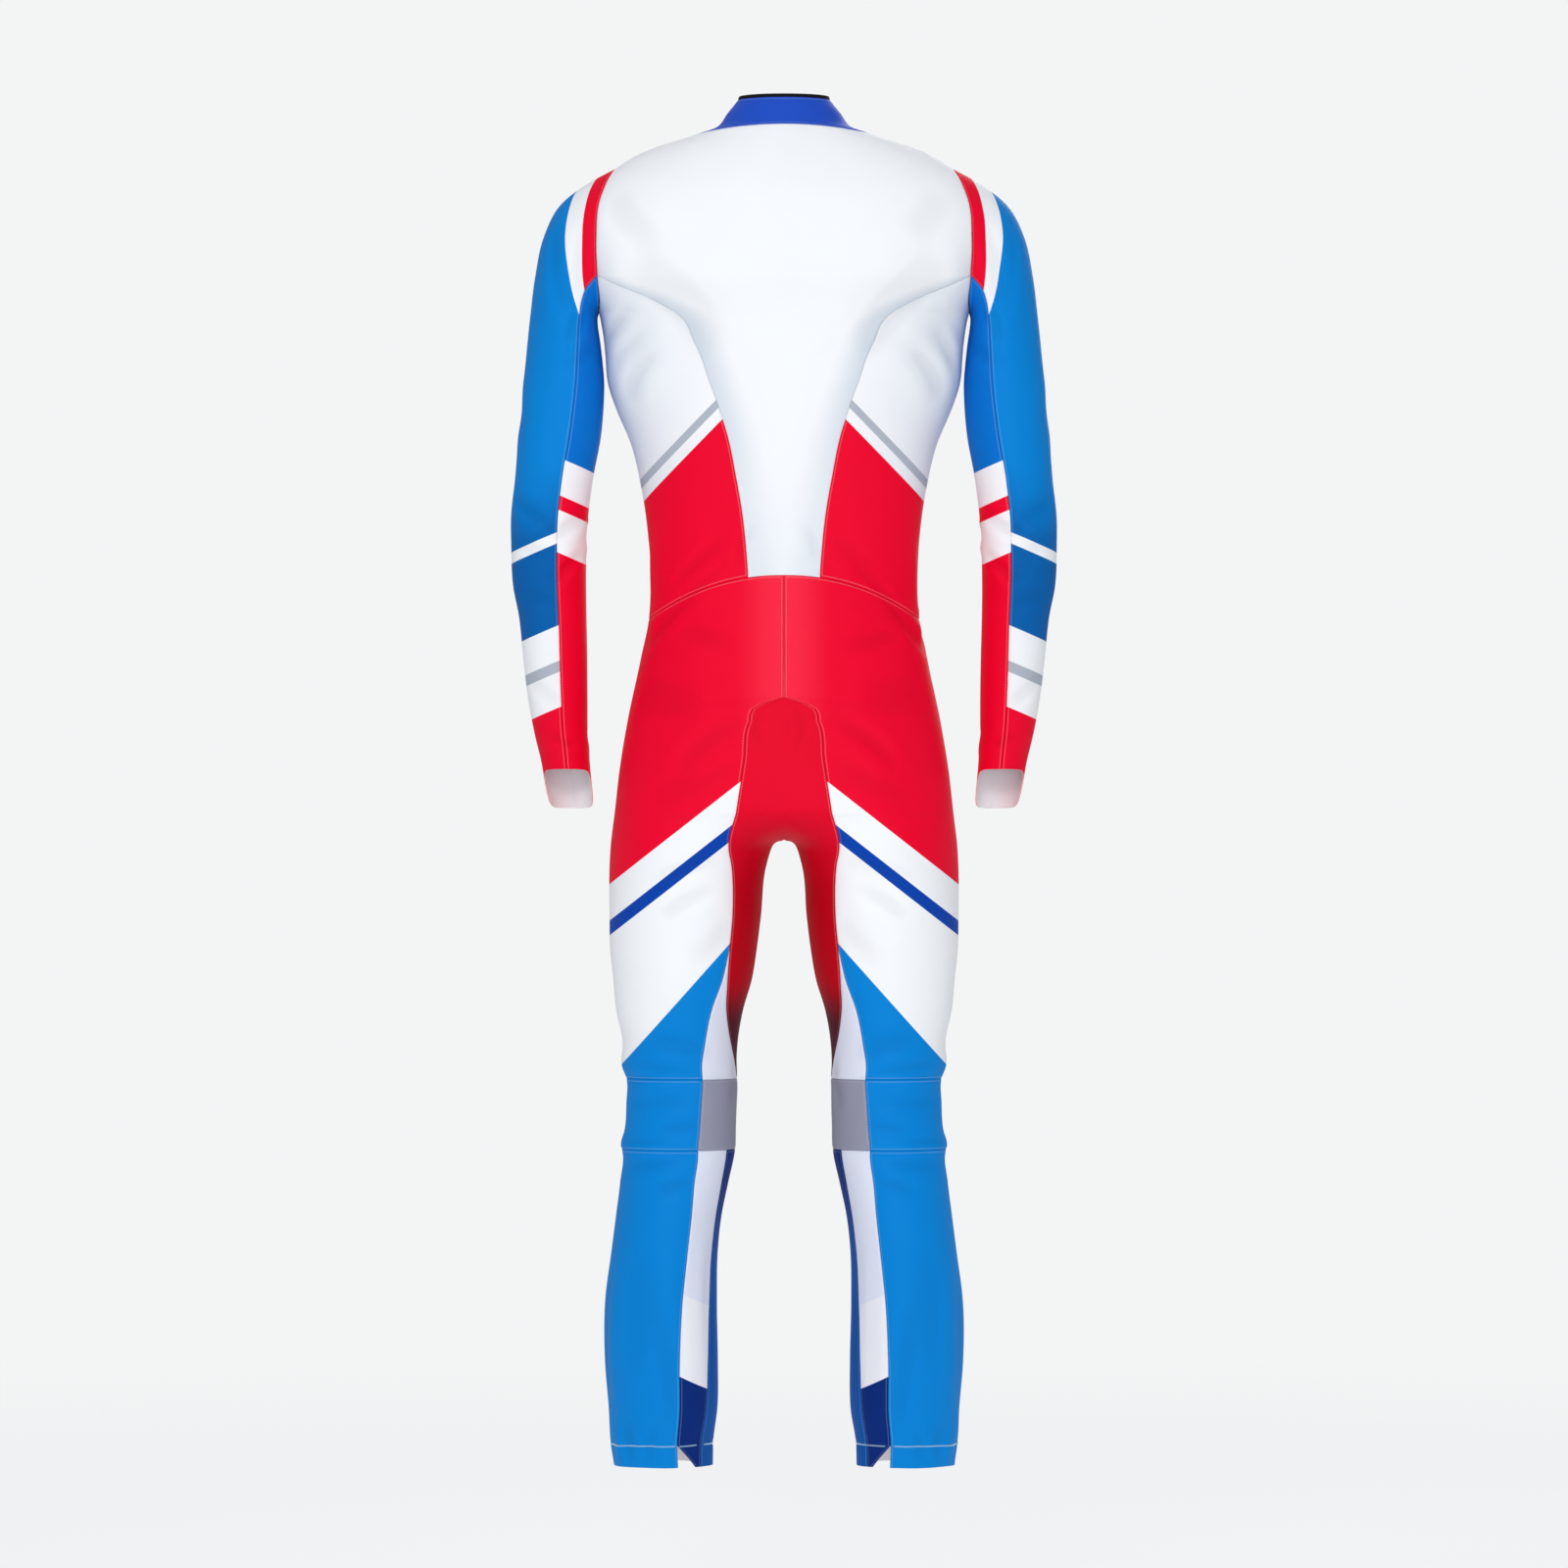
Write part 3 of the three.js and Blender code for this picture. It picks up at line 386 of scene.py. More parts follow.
def ladder(start, end, step, seam_start=True, seam_end=True):
    """Evenly spaced stations from start to end, with close ones beside a seam."""
    way = 1 if end > start else -1
    count = max(1, round(abs(end - start) / step))
    inner = [start + way * (abs(end - start) * k / count) for k in range(count + 1)]
    close = [start + way * d for d in NEAR_SEAM if seam_start]
    close += [end - way * d for d in NEAR_SEAM if seam_end]
    clear = [at for at in inner[1:-1] if all(abs(at - c) > ROW_CLEAR for c in close)]
    return sorted({inner[0], *clear, *close, inner[-1]}, reverse=way < 0)


def rows_down(rows, *corners):
    """Rows from the top down, with one more at each corner of a panel."""
    return np.array(sorted({*rows, *corners}, reverse=True))


UPPER_ROWS = np.concatenate([
    [NECKLINE - d for d in YOKE_STARTS],
    np.arange(NECKLINE - YOKE_SECOND, ARMHOLE_TOP, -ROW_STEP["yoke"]),
    armhole_side(np.linspace(0, HALF_TURN, ARMHOLE_COUNT)),
    ladder(ARMHOLE_BOTTOM, WAIST, ROW_STEP["torso"], seam_start=False)[1:],
])
HIP_ROWS = rows_down(
    ladder(WAIST, SEAT, ROW_STEP["torso"], seam_end=False), ZIP_END, ZIP_CLOSED, GUSSET_BACK_TOP,
    GUSSET_BACK_TOP - CORNER, GUSSET_FRONT_TOP, GUSSET_FRONT_TOP - CORNER,
)
THIGH_ROWS = rows_down(
    ladder(SEAT, KNEE_TOP, ROW_STEP["leg"], seam_start=False), INSEAM_START, INSEAM_START - CORNER,
)
KNEE_ROWS = np.array(ladder(KNEE_TOP, KNEE_END, ROW_STEP["leg"]))
SHIN_ROWS = np.array(
    ladder(KNEE_END, SLIT_TOP, ROW_STEP["torso"], seam_end=False)[:-1]
    + ladder(SLIT_TOP, HEM, ROW_STEP["hem"], seam_start=False)
)
sleeve_lengths = ladder(0, SLEEVE_KNOTS[-1], ROW_STEP["sleeve"])
SLEEVE_ROWS = np.interp(sleeve_lengths, SLEEVE_KNOTS, np.arange(len(SLEEVE_KNOTS)))
COLLAR_ROWS = np.array(ladder(COLLAR_TOP, 0, ROW_STEP["collar"]))


# Creases, each on one tube from one turn and station to another: deep is how far it sinks, or rises below 0
CREASES = {
    "torso": [
        # turn, at, turn, at, wide, deep
        [64, -508, 22, -548, 7, 1.7], [70, -470, 34, -522, 9, 1.2], [58, -535, 12, -566, 10, 1.0],
        [89.6, -96, 89.8, -210, 5, 0.5], [84, -455, 76, -518, 8, 0.9], [52, -205, 20, -262, 10, 1.8],
        [40, -196, 8, -232, 8, 1.5], [60, -228, 30, -300, 13, 1.5], [44, -130, 70, -250, 22, 2.2],
        [36, -60, 62, -120, 20, 1.1], [78, -655, 52, -700, 12, 1.3], [74, -690, 40, -728, 14, 1.2],
        [88.4, -642, 89.2, -686, 3.4, 1.0], [34, -560, 70, -596, 12, 1.3], [20, -612, 60, -640, 22, 1.3],
        [-46, -205, -14, -258, 10, 1.7], [-36, -192, -6, -236, 8, 1.4], [-58, -214, -30, -300, 13, 1.3],
        [-76, -120, -40, -165, 14, 1.0], [-70, -500, -24, -540, 9, 1.5], [-78, -545, -36, -574, 9, 1.3],
        [-60, -460, -22, -506, 11, 1.0], [-78, -672, -44, -636, 10, 1.7], [-82, -700, -34, -668, 9, 1.4],
        [-72, -724, -26, -705, 10, 1.3], [6, -440, 2, -520, 12, 1.2], [-4, -520, 12, -572, 10, 1.4],
    ],
    "leg": [
        [112, -786, 62, -812, 11, 1.5], [118, -812, 74, -850, 12, 1.3], [124, -850, 92, -900, 12, 1.1],
        [60, -980, 128, -996, 12, 1.4], [40, -1008, 118, -1016, 7, 1.3], [20, -1052, 100, -1046, 9, 1.2],
        [64, -1078, 122, -1070, 7, 1.0], [10, -1092, 92, -1090, 6, 1.2], [96, -1110, 30, -1118, 8, 1.3],
        [70, -1142, 118, -1130, 9, 1.1], [62, -1200, 70, -1350, 18, 1.6], [24, -1230, 16, -1390, 16, 1.2],
        [96, -1260, 100, -1400, 12, 1.2], [46, -1390, 52, -1438, 10, 1.5], [86, -1396, 80, -1438, 9, 1.3],
        [8, -1400, 14, -1438, 9, 1.3], [-112, -776, -64, -760, 10, 1.7], [-120, -806, -70, -788, 10, 1.3],
        [-50, -1006, -116, -1014, 9, 1.2], [-30, -1040, -96, -1032, 9, 1.0],
        [-24, -1108, -100, -1114, 8, 1.1], [-60, -1180, -66, -1330, 16, 1.2],
        [-100, -1220, -96, -1390, 14, 1.1], [-40, -1398, -46, -1438, 10, 1.3],
        [150, -1190, 152, -1380, 9, 0.9], [170, -1000, 150, -1060, 9, 1.0],
    ],
    "sleeve": [
        [64, 1.2, 112, 3.4, 9, 1.6], [40, 2.2, 100, 4.6, 10, 1.3], [130, 3.0, 96, 5.4, 9, 1.5],
        [150, 4.6, 80, 5.8, 8, 1.3], [20, 8.4, 110, 9.2, 9, 1.5], [150, 8.8, 76, 9.9, 8, 1.7],
        [10, 9.7, 96, 10.4, 9, 1.3], [160, 10.2, 90, 11.0, 8, 1.6], [30, 11.2, 104, 11.6, 8, 1.1],
        [200, 8.6, 268, 9.4, 8, 2.0], [176, 9.5, 262, 10.2, 8, 2.2], [196, 10.4, 284, 10.8, 8, 1.8],
        [214, 11.3, 290, 11.7, 8, 1.3], [240, 2.6, 268, 5.2, 9, 1.6], [286, 2.4, 262, 4.4, 10, 1.3],
        [300, 12.4, 210, 13.2, 9, 1.2], [20, 13.4, 96, 14.2, 8, 1.2], [60, 15.2, 130, 15.8, 6, 1.1],
        [180, 14.8, 250, 15.5, 7, 1.2], [-30, 6.4, 30, 7.2, 14, 1.0],
    ],
}
TUBES = {"torso": torso_point, "leg": leg_point, "sleeve": sleeve_point}
CREASE_DEPTH = 1.45
CREASE_POINTS = 9
CREASE_BOW = 5
CREASE_REACH = 3.5
CREASE_ENDS = 0.8
# How unlike its neighbours a crease is: by its place in the list, and on the left half
UNEVEN = {"step": 2.4, "left": 0.9, "start": 3, "end": 2, "wide": 0.15, "deep": 0.25}
# The low ridge on each side of a trough, in widths of the trough
RIDGE = {"high": 0.55, "away": 1.75, "tight": 1.6}


def creased(points, tube, side):
    """How far each point moves outward for its creases, on the right (1) or left (-1) half."""
    moved = np.zeros(len(points))
    tubes = ["torso", "leg"] if tube in ("torso", "leg") else [tube]
    rows = [(name, *row) for name in tubes for row in CREASES.get(name, [])]
    for k, (name, turn1, at1, turn2, at2, wide, deep) in enumerate(rows):
        uneven = math.sin(k * UNEVEN["step"] + (UNEVEN["left"] if side < 0 else 0))
        share = np.linspace(0, 1, CREASE_POINTS)
        bow = CREASE_BOW * uneven * np.sin(math.pi * share)
        turns = mix(turn1 + UNEVEN["start"] * uneven, turn2 + UNEVEN["end"] * uneven, share) + bow
        path = TUBES[name](turns, mix(at1, at2, share))
        path[:, 0] *= side
        wide = wide * (1 + UNEVEN["wide"] * uneven)
        deep = deep * CREASE_DEPTH * (1 - UNEVEN["deep"] * uneven)
        low, high = path.min(0) - CREASE_REACH * wide, path.max(0) + CREASE_REACH * wide
        near = np.flatnonzero(np.all((points > low) & (points < high), axis=1))
        if not len(near):
            continue
        best = np.full(len(near), np.inf)
        taper = np.zeros(len(near))
        for j in range(len(path) - 1):
            a, way = path[j], path[j + 1] - path[j]
            t = np.clip((points[near] - a) @ way / (way @ way), 0, 1)
            away = np.linalg.norm(points[near] - a - t[:, None] * way, axis=1)
            closer = away < best
            best = np.where(closer, away, best)
            taper = np.where(closer, np.sin(math.pi * (j + t) / (len(path) - 1)) ** CREASE_ENDS, taper)
        x = best / wide
        profile = RIDGE["high"] * np.exp(-((x - RIDGE["away"]) ** 2) * RIDGE["tight"]) - np.exp(-x * x)
        moved[near] += deep * taper * profile
    return moved


LEG_MIDDLE = 130
HEM_WAVE = {"deep": 0.9, "count": 5, "unlike": 2.2, "above": 30, "fades": 40}
HEM_GROOVE = {"deep": 0.9, "wide": 2.0, "above": 8}
SWELL = 0.5


def puffed(points):
    """The slight swell of the cloth between seams, and the waves of the hem."""
    x, y, z = points.T
    hem = np.clip((SLIT_TOP + HEM_WAVE["above"] - z) / HEM_WAVE["fades"], 0, 1)
    around = np.arctan2(y, np.abs(x) - LEG_MIDDLE)
    wave = hem * HEM_WAVE["deep"] * np.sin(HEM_WAVE["count"] * around + HEM_WAVE["unlike"] * np.sign(x))
    groove = HEM_GROOVE["deep"] * np.exp(-(((z - HEM_STITCH) / HEM_GROOVE["wide"]) ** 2))
    slow = SWELL * np.sin(z / 37 + 1.3 * np.sin(x / 41)) * np.sin(x / 29 + y / 33)
    return wave - groove * (z < SLIT_TOP + HEM_GROOVE["above"]) + slow


# Panels
SIDES = {"right": 1, "left": -1}
ON = {"torso": on_torso, "collar": on_collar, "sleeve": on_sleeve, "leg": on_leg}
STATION_LONG = 40
FINE = 61
TIGHTEST = 2.6
FAR = 99.0


def grid(tube, rows, start, end, seams, side=1, columns=None):
    """One grid of cloth points between two edges. seams names its edges that are sewn: l, r, t and b.
    Grids that meet along a row are given the same number of columns."""
    surface = ON[tube]
    rows = np.array(rows, float)
    gap = SEAM_HALF / STATION_LONG if tube == "sleeve" else SEAM_HALF
    if "t" in seams:
        rows[0] += math.copysign(gap, rows[1] - rows[0])
    if "b" in seams:
        rows[-1] -= math.copysign(gap, rows[-1] - rows[-2])
    first, last = numbers(start(rows)) + 0 * rows, numbers(end(rows)) + 0 * rows
    fine = np.linspace(0, 1, FINE)
    samples = [surface(mix(a, b, fine), np.full(FINE, row))[0] for a, b, row in zip(first, last, rows)]
    arcs = travelled(np.stack(samples), axis=1)
    widths = arcs[:, -1]
    count = columns or max(2, int(math.ceil(widths.max() / SPACING)))
    left = [SEAM_HALF] + NEAR_SEAM if "l" in seams else [0]
    right = [SEAM_HALF] + NEAR_SEAM if "r" in seams else [0]
    turns, lefts, rights = [], [], []
    for k, width in enumerate(widths):
        tight = min(1.0, width / (TIGHTEST * (max(left) + max(right) + 0.5)))
        inner = np.linspace(max(left) * tight, width - max(right) * tight, count + 1)
        beside_left = [d * tight for d in left[:-1]]
        beside_right = [width - d * tight for d in right[-2::-1]]
        places = np.concatenate([beside_left, inner, beside_right])
        turns.append(mix(first[k], last[k], np.interp(places, arcs[k], fine)))
        lefts.append(places)
        rights.append(width - places)
    turns, lefts, rights = np.array(turns), np.array(lefts), np.array(rights)
    at = np.broadcast_to(rows[:, None], turns.shape)
    point, normal = surface(turns.ravel(), at.ravel().copy())
    normal[np.abs(point[:, 0]) < TOUCH, 0] = 0
    point, normal = point.reshape(*turns.shape, 3), normal.reshape(*turns.shape, 3)
    down = travelled(point)
    options = {"l": (lefts, down), "r": (rights, down), "t": (down, lefts), "b": (down[-1] - down, lefts)}
    seam, run = np.full(turns.shape, FAR), np.full(turns.shape, FAR)
    for key in seams:
        away, along = options[key]
        run = np.where(away < seam, along, run)
        seam = np.minimum(seam, away)
    made = {"point": point, "normal": normal, "seam": seam, "run": run, "across": lefts, "along": down}
    if side < 0:
        made = {key: value[:, ::-1].copy() for key, value in made.items()}
        made["point"][..., 0] *= -1
        made["normal"][..., 0] *= -1
    made["tube"], made["side"] = tube, side
    return made


FIELDS = ["seam", "run", "across", "along", "fold"]


def meshed(name, points, faces, material):
    """A mesh from points in millimetres."""
    mesh = bpy.data.meshes.new(name)
    mesh.from_pydata((points * MM).tolist(), [], faces)
    mesh.materials.append(material)
    return mesh


def placed(name, data):
    made = bpy.data.objects.new(name, data)
    bpy.context.scene.collection.objects.link(made)
    return made


def ridden(mesh):
    """A mesh as a piece of the suit's body."""
    piece = placed(mesh.name, mesh)
    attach(piece, "suit")
    return piece


def cloth_piece(name, grids, material, node, wall=WALL, groove=GROOVE_DEEP):
    """A closed thin wall over its grids, which stands for one node."""
    points, normals, moves, faces = [], [], [], []
    fields = {key: [] for key in FIELDS}
    count = 0
    for made in grids:
        shape = made["seam"].shape
        flat = made["point"].reshape(-1, 3)
        points.append(flat)
        normals.append(made["normal"].reshape(-1, 3))
        seam = made["seam"].ravel()
        fold = creased(flat, made["tube"], made["side"])
        move = fold + puffed(flat)
        made["fold"] = fold.reshape(shape)
        move *= 1 - np.exp(-((seam / SEAM_HOLDS) ** 2))
        moves.append(move - groove * np.exp(-((seam / GROOVE_WIDE) ** 2)))
        for key in FIELDS:
            fields[key].append(made[key].ravel())
        i = np.arange(shape[0] * shape[1]).reshape(shape) + count
        faces.append(np.stack([i[:-1, :-1], i[:-1, 1:], i[1:, 1:], i[1:, :-1]], axis=2).reshape(-1, 4))
        count += i.size
    points, normals, moves = np.concatenate(points), np.concatenate(normals), np.concatenate(moves)
    faces = np.concatenate(faces)
    keys = np.round(points / SAME).astype(np.int64)
    where, group = np.unique(keys, axis=0, return_index=True, return_inverse=True)[1:]
    group = group.ravel()
    points, normals, moves = points[where], normals[where], moves[where]
    values = {key: np.concatenate(fields[key])[where] for key in FIELDS}
    faces = group[faces]
    outer = points + normals * moves[:, None]
    inner = outer - normals * wall
    total = len(points)
    shown = [list(dict.fromkeys(face)) for face in faces.tolist()]
    shown = [face for face in shown if len(face) > 2]
    edges = {}
    for face in shown:
        for a, b in zip(face, face[1:] + face[:1]):
            edges[(a, b)] = True
    rim = [(a, b) for a, b in edges if (b, a) not in edges]
    solid = shown + [[v + total for v in face[::-1]] for face in shown]
    solid += [[b, a, a + total, b + total] for a, b in rim]
    mesh = meshed(name, np.concatenate([outer, inner]), solid, material)
    for key in FIELDS:
        attribute = mesh.attributes.new(key, "FLOAT", "POINT")
        attribute.data.foreach_set("value", np.tile(values[key], 2).astype(np.float32))
    lining = mesh.attributes.new("lining", "FLOAT", "POINT")
    lining.data.foreach_set("value", np.repeat([0.0, 1.0], total).astype(np.float32))
    mesh.shade_smooth()
    piece = ridden(mesh)
    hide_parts(node)
    if grids[0]["tube"] == "collar" and len(grids) > 2:
        # The grids of the collar and its binding lie end to end around the neck
        width = sum(made["across"].max() for made in grids)
        length = max(made["along"].max() for made in grids)
    else:
        width = sum(max(made["across"].max() for made in grids if made["side"] == side)
                    for side in sorted({made["side"] for made in grids}))
        length = sum(made["along"].max() for made in grids if made["side"] == grids[0]["side"])
    area = sum(face.area for face in mesh.polygons) / 2 / (MM * STRETCH) ** 2
    width, length = width / STRETCH, length / STRETCH
    length = max(NARROWEST_CUT, min(length, area / (LEAST_FILL * width)))
    width = max(NARROWEST_CUT, width, area / length)
    return piece


# Materials
def linear(value):
    return value / 12.92 if value <= 0.04045 else ((value + 0.055) / 1.055) ** 2.4


def rgb(red, green, blue):
    """A colour given as it looks on a screen, from 0 to 255."""
    return tuple(linear(value / 255) for value in (red, green, blue)) + (1.0,)


WHITE = rgb(246, 248, 252)
RED = rgb(240, 0, 46)
HIGHLIGHT_RED = rgb(255, 52, 80)
DEEP_RED = rgb(232, 0, 42)
LEG_RED = rgb(192, 0, 24)
MAROON = rgb(84, 14, 32)
BLUE = rgb(0, 132, 216)
SLEEVE_BLUE = rgb(0, 112, 206)
SHADOW_GREY = rgb(206, 216, 228)
NAVY = rgb(2, 42, 120)
STRIPE_BLUE = rgb(4, 66, 172)
MID_BLUE = rgb(0, 84, 168)
ROYAL = rgb(32, 80, 198)
GREY = rgb(148, 149, 168)
STRIPE_GREY = rgb(176, 184, 196)
PALE_GREY = rgb(227, 231, 246)
BLACK = rgb(22, 22, 26)
HEM_THREAD = rgb(196, 232, 244)
STITCH_THREAD = (0.8, 0.88, 0.95, 1)
STRIP_WHITE = rgb(240, 241, 248)
METAL = rgb(148, 150, 156)
INSIDE = rgb(236, 230, 234)


def put(node, values):
    """Sets a node's inputs by their names."""
    for name, value in values.items():
        node.inputs[name].default_value = value


class Tree:
    """A material's nodes, made one at a time."""

    def __init__(self, name, base, roughness, sheen=0.0, metallic=0.0):
        self.material = bpy.data.materials.new(name)
        self.material.use_nodes = True
        self.tree = self.material.node_tree
        self.shader = self.tree.nodes["Principled BSDF"]
        put(self.shader, {
            "Base Color": base, "Roughness": roughness, "Metallic": metallic, "Sheen Weight": sheen,
            "Sheen Roughness": 0.35, "Specular IOR Level": 0.5 if metallic else 0.08,
        })
        self.material.diffuse_color = base
        self.colour = base

    def node(self, kind, **values):
        made = self.tree.nodes.new(kind)
        for key, value in values.items():
            setattr(made, key, value)
        return made

    def link(self, source, target):
        """Joins a node's output to an input, or sets the input to a number or a colour."""
        if isinstance(source, (int, float, tuple)):
            target.default_value = source
        else:
            self.tree.links.new(source, target)

    def math(self, kind, *inputs):
        made = self.node("ShaderNodeMath", operation=kind)
        for k, value in enumerate(inputs):
            self.link(value, made.inputs[k])
        return made.outputs[0]

    def times(self, a, b):
        return self.math("MULTIPLY", a, b)

    def place(self):
        """Millimetres from the middle of the suit, both halves alike: x and z."""
        where = self.node("ShaderNodeTexCoord").outputs["Object"]
        scaled = self.node("ShaderNodeVectorMath", operation="SCALE")
        self.link(where, scaled.inputs[0])
        put(scaled, {"Scale": 1 / MM})
        parts = self.node("ShaderNodeSeparateXYZ")
        self.link(scaled.outputs[0], parts.inputs[0])
        return self.math("ABSOLUTE", parts.outputs[0]), parts.outputs[2]

    def value(self, name):
        return self.node("ShaderNodeAttribute", attribute_name=name).outputs["Fac"]

    def above(self, value, limit, soft=0.5):
        """1 where value is over limit, 0 below it."""
        made = self.node("ShaderNodeMapRange", interpolation_type="SMOOTHSTEP")
        self.link(value, made.inputs["Value"])
        put(made, {"From Min": limit - soft, "From Max": limit + soft})
        return made.outputs["Result"]

    def below(self, value, limit, soft=0.5):
        """1 where value is under limit, 0 above it."""
        return self.math("SUBTRACT", 1.0, self.above(value, limit, soft))

    def within(self, value, low, high, soft=0.5):
        return self.math("SUBTRACT", self.above(value, low, soft), self.above(value, high, soft))

    def paint(self, mask, colour):
        """Lays a colour over what is there, where mask is 1."""
        made = self.node("ShaderNodeMix", data_type="RGBA")
        self.link(mask, made.inputs["Factor"])
        self.link(self.colour, made.inputs["A"])
        self.link(colour, made.inputs["B"])
        self.colour = made.outputs["Result"]

    def shade(self, mask, share):
        """Darkens to a share of the colour where mask is 1."""
        made = self.node("ShaderNodeMix", data_type="RGBA", blend_type="MULTIPLY")
        self.link(mask, made.inputs["Factor"])
        self.link(self.colour, made.inputs["A"])
        put(made, {"B": (share, share, share, 1)})
        self.colour = made.outputs["Result"]

    def noise(self, scale, detail=2.0):
        made = self.node("ShaderNodeTexNoise")
        put(made, {"Scale": scale, "Detail": detail})
        self.link(self.node("ShaderNodeTexCoord").outputs["Object"], made.inputs["Vector"])
        return made.outputs["Fac"]

    def bump(self, height, distance, strength=1.0):
        made = self.node("ShaderNodeBump")
        put(made, {"Distance": distance, "Strength": strength})
        self.link(height, made.inputs["Height"])
        self.link(made.outputs["Normal"], self.shader.inputs["Normal"])

    def glow(self, colour, strength):
        """Gives off its own light, with no sheen."""
        put(self.shader, {"Specular IOR Level": 0, "Emission Color": colour, "Emission Strength": strength})

    def finish(self):
        if not isinstance(self.colour, tuple):
            self.link(self.colour, self.shader.inputs["Base Color"])
        return self.material


# The knit's wales, courses and stitches
WALE = 1.15
COURSE = 0.95
STITCH = {"long": 3.0, "near": 1.7, "far": 2.6, "shows": 0.13}


def knit(name, base, draw=None, roughness=0.6, sheen=0.0, stitched=True, inside=INSIDE):
    """Stretch knit: its colour blocks, fine wales and courses, and the stitches along its seams."""
    t = Tree(name, base, roughness, sheen)
    if draw:
        draw(t)
    across, along = t.value("across"), t.value("along")
    wales = t.math("SINE", t.times(across, 2 * math.pi / WALE))
    courses = t.math("SINE", t.times(along, 2 * math.pi / COURSE))
    fabric = t.times(t.math("ADD", wales, courses), 0.25)
    height = t.math("ADD", fabric, t.noise(900, 1.0))
    t.shade(t.times(t.above(t.noise(9), 0.55, 0.25), 0.5), 0.95)
    if stitched:
        seam, run = t.value("seam"), t.value("run")
        row = t.within(seam, STITCH["near"], STITCH["far"], 0.15)
        dash = t.above(t.math("PINGPONG", run, STITCH["long"] / 2), 0.35, 0.1)
        thread = t.times(row, dash)
        t.paint(t.times(thread, STITCH["shows"]), STITCH_THREAD)
        t.shade(t.below(seam, 0.5, 0.3), 0.85)
        height = t.math("ADD", height, t.times(thread, 2.0))
    # Painted shade in the crease troughs, where the cloth sinks
    trough = t.below(t.value("fold"), -0.7, 0.9)
    t.shade(t.times(trough, 0.35), 0.8)
    t.paint(t.value("lining"), inside)
    t.bump(height, 0.00012, 0.6)
    return t.finish()


# Colour blocks, by height in millimetres
def slanted(t, slope, middle):
    """Height on the suit, tilted by a slope away from the middle: z + slope * (x - middle)."""
    x, z = t.place()
    return t.math("ADD", z, t.times(t.math("SUBTRACT", x, middle), slope))


def draw_back(t):
    """White, with painted shade beside the curved seams, and a little greyer low down."""
    z = t.place()[1]
    # Painted shade: grey beside the curved seams, weaker low down
    beside = t.times(t.below(t.value("across"), 16, 22), t.below(z, -150, 45))
    fading = t.math("ADD", 0.35, t.times(t.above(z, -330, 110), 0.65))
    t.paint(t.times(beside, fading), SHADOW_GREY)
    t.paint(t.times(t.below(z, -430, 120), 0.3), SHADOW_GREY)


def draw_side(t):
    """White, with painted shade towards the sides, over a slanted red edge and a grey stripe."""
    x = t.place()[0]
    # Painted shade: grey towards the sides, where the light falls off
    t.paint(t.times(t.above(x, 120, 60), 0.35), SHADOW_GREY)
    level = slanted(t, 1.0, 70)
    t.paint(t.within(level, -306, -295), STRIPE_GREY)
    t.paint(t.below(level, -322), RED)


def draw_thigh(t):
    """Red, with a painted highlight down the middle of the seat, then white with a blue stripe, then blue.
    """
    x, z = t.place()
    # Painted highlight: lighter red down the middle of the seat
    middle = t.times(t.below(x, 30, 24), t.above(z, -640, 34))
    t.paint(t.times(middle, 0.55), HIGHLIGHT_RED)
    fall = slanted(t, 0.78, 43)
    t.paint(t.below(fall, -702), WHITE)
    t.paint(t.within(fall, -757, -741), STRIPE_BLUE)
    t.paint(t.below(slanted(t, 1.12, 60), -880), BLUE)


def draw_outer_sleeve(t):
    """Blue with a white and a red band over the head, and bands down the forearm."""
    level = slanted(t, 0.42, 250)
    t.paint(t.times(t.below(level, -410, 60), 0.55), NAVY)
    t.paint(t.within(level, -452, -440), WHITE)
    t.paint(t.below(level, -540), WHITE)
    t.paint(t.within(level, -590, -578), STRIPE_GREY)
    t.paint(t.below(level, -628), RED)
    over = t.value("along")
    t.paint(t.below(over, 48), WHITE)
    t.paint(t.below(over, 22), RED)


def draw_inner_sleeve(t):
    level = slanted(t, -0.42, 230)
    t.paint(t.below(level, -362), WHITE)
    t.paint(t.within(level, -418, -402), RED)
    t.paint(t.below(level, -464), RED)


def draw_gusset(t):
    z = t.place()[1]
    t.paint(t.below(z, -780, 60), LEG_RED)
    t.paint(t.below(z, -940, 30), MAROON)


def draw_strip(t):
    level = slanted(t, -0.5, 90)
    t.paint(t.below(level, -1262, 0.6), STRIP_WHITE)
    t.paint(t.below(level, -1352, 0.6), NAVY)


def draw_inner_shin(t):
    t.paint(t.below(t.place()[1], -1180, 60), MID_BLUE)


white_knit = knit("white_knit", WHITE, draw_back)
side_knit = knit("side_knit", WHITE, draw_side)
seat_knit = knit("seat_knit", RED, draw_thigh)
gusset_knit = knit("gusset_knit", DEEP_RED, draw_gusset)
blue_knit = knit("blue_knit", BLUE)
outer_sleeve_knit = knit("outer_sleeve_knit", BLUE, draw_outer_sleeve)
inner_sleeve_knit = knit("inner_sleeve_knit", SLEEVE_BLUE, draw_inner_sleeve)
grey_knit = knit("grey_knit", GREY)
pale_knit = knit("pale_knit", PALE_GREY)
strip_knit = knit("strip_knit", PALE_GREY, draw_strip)
inner_shin_knit = knit("inner_shin_knit", NAVY, draw_inner_shin)
collar_knit = knit("collar_knit", ROYAL, sheen=0.1)
binding_knit = knit("binding_knit", BLACK, roughness=0.7, stitched=False, inside=BLACK)
tape_knit = knit("tape_knit", BLACK, roughness=0.7, stitched=False, inside=BLACK)


# The suit's panels
PRINCESS_START = float(armhole_side(SLEEVE_BACK_SEAM))
THIGH_COLUMNS = 46
GUSSET_COLUMNS = 8
BINDING_ROWS = 6
TAPE_ROWS = 16


def constant(value):
    return lambda rows: np.full(len(rows), float(value))


side_line, back_line, front_line = constant(0), constant(QUARTER_TURN), constant(-QUARTER_TURN)


def mirrored(edge):
    """The same edge on the front half of its tube, counted back from the side."""
    return lambda at: -edge(at)


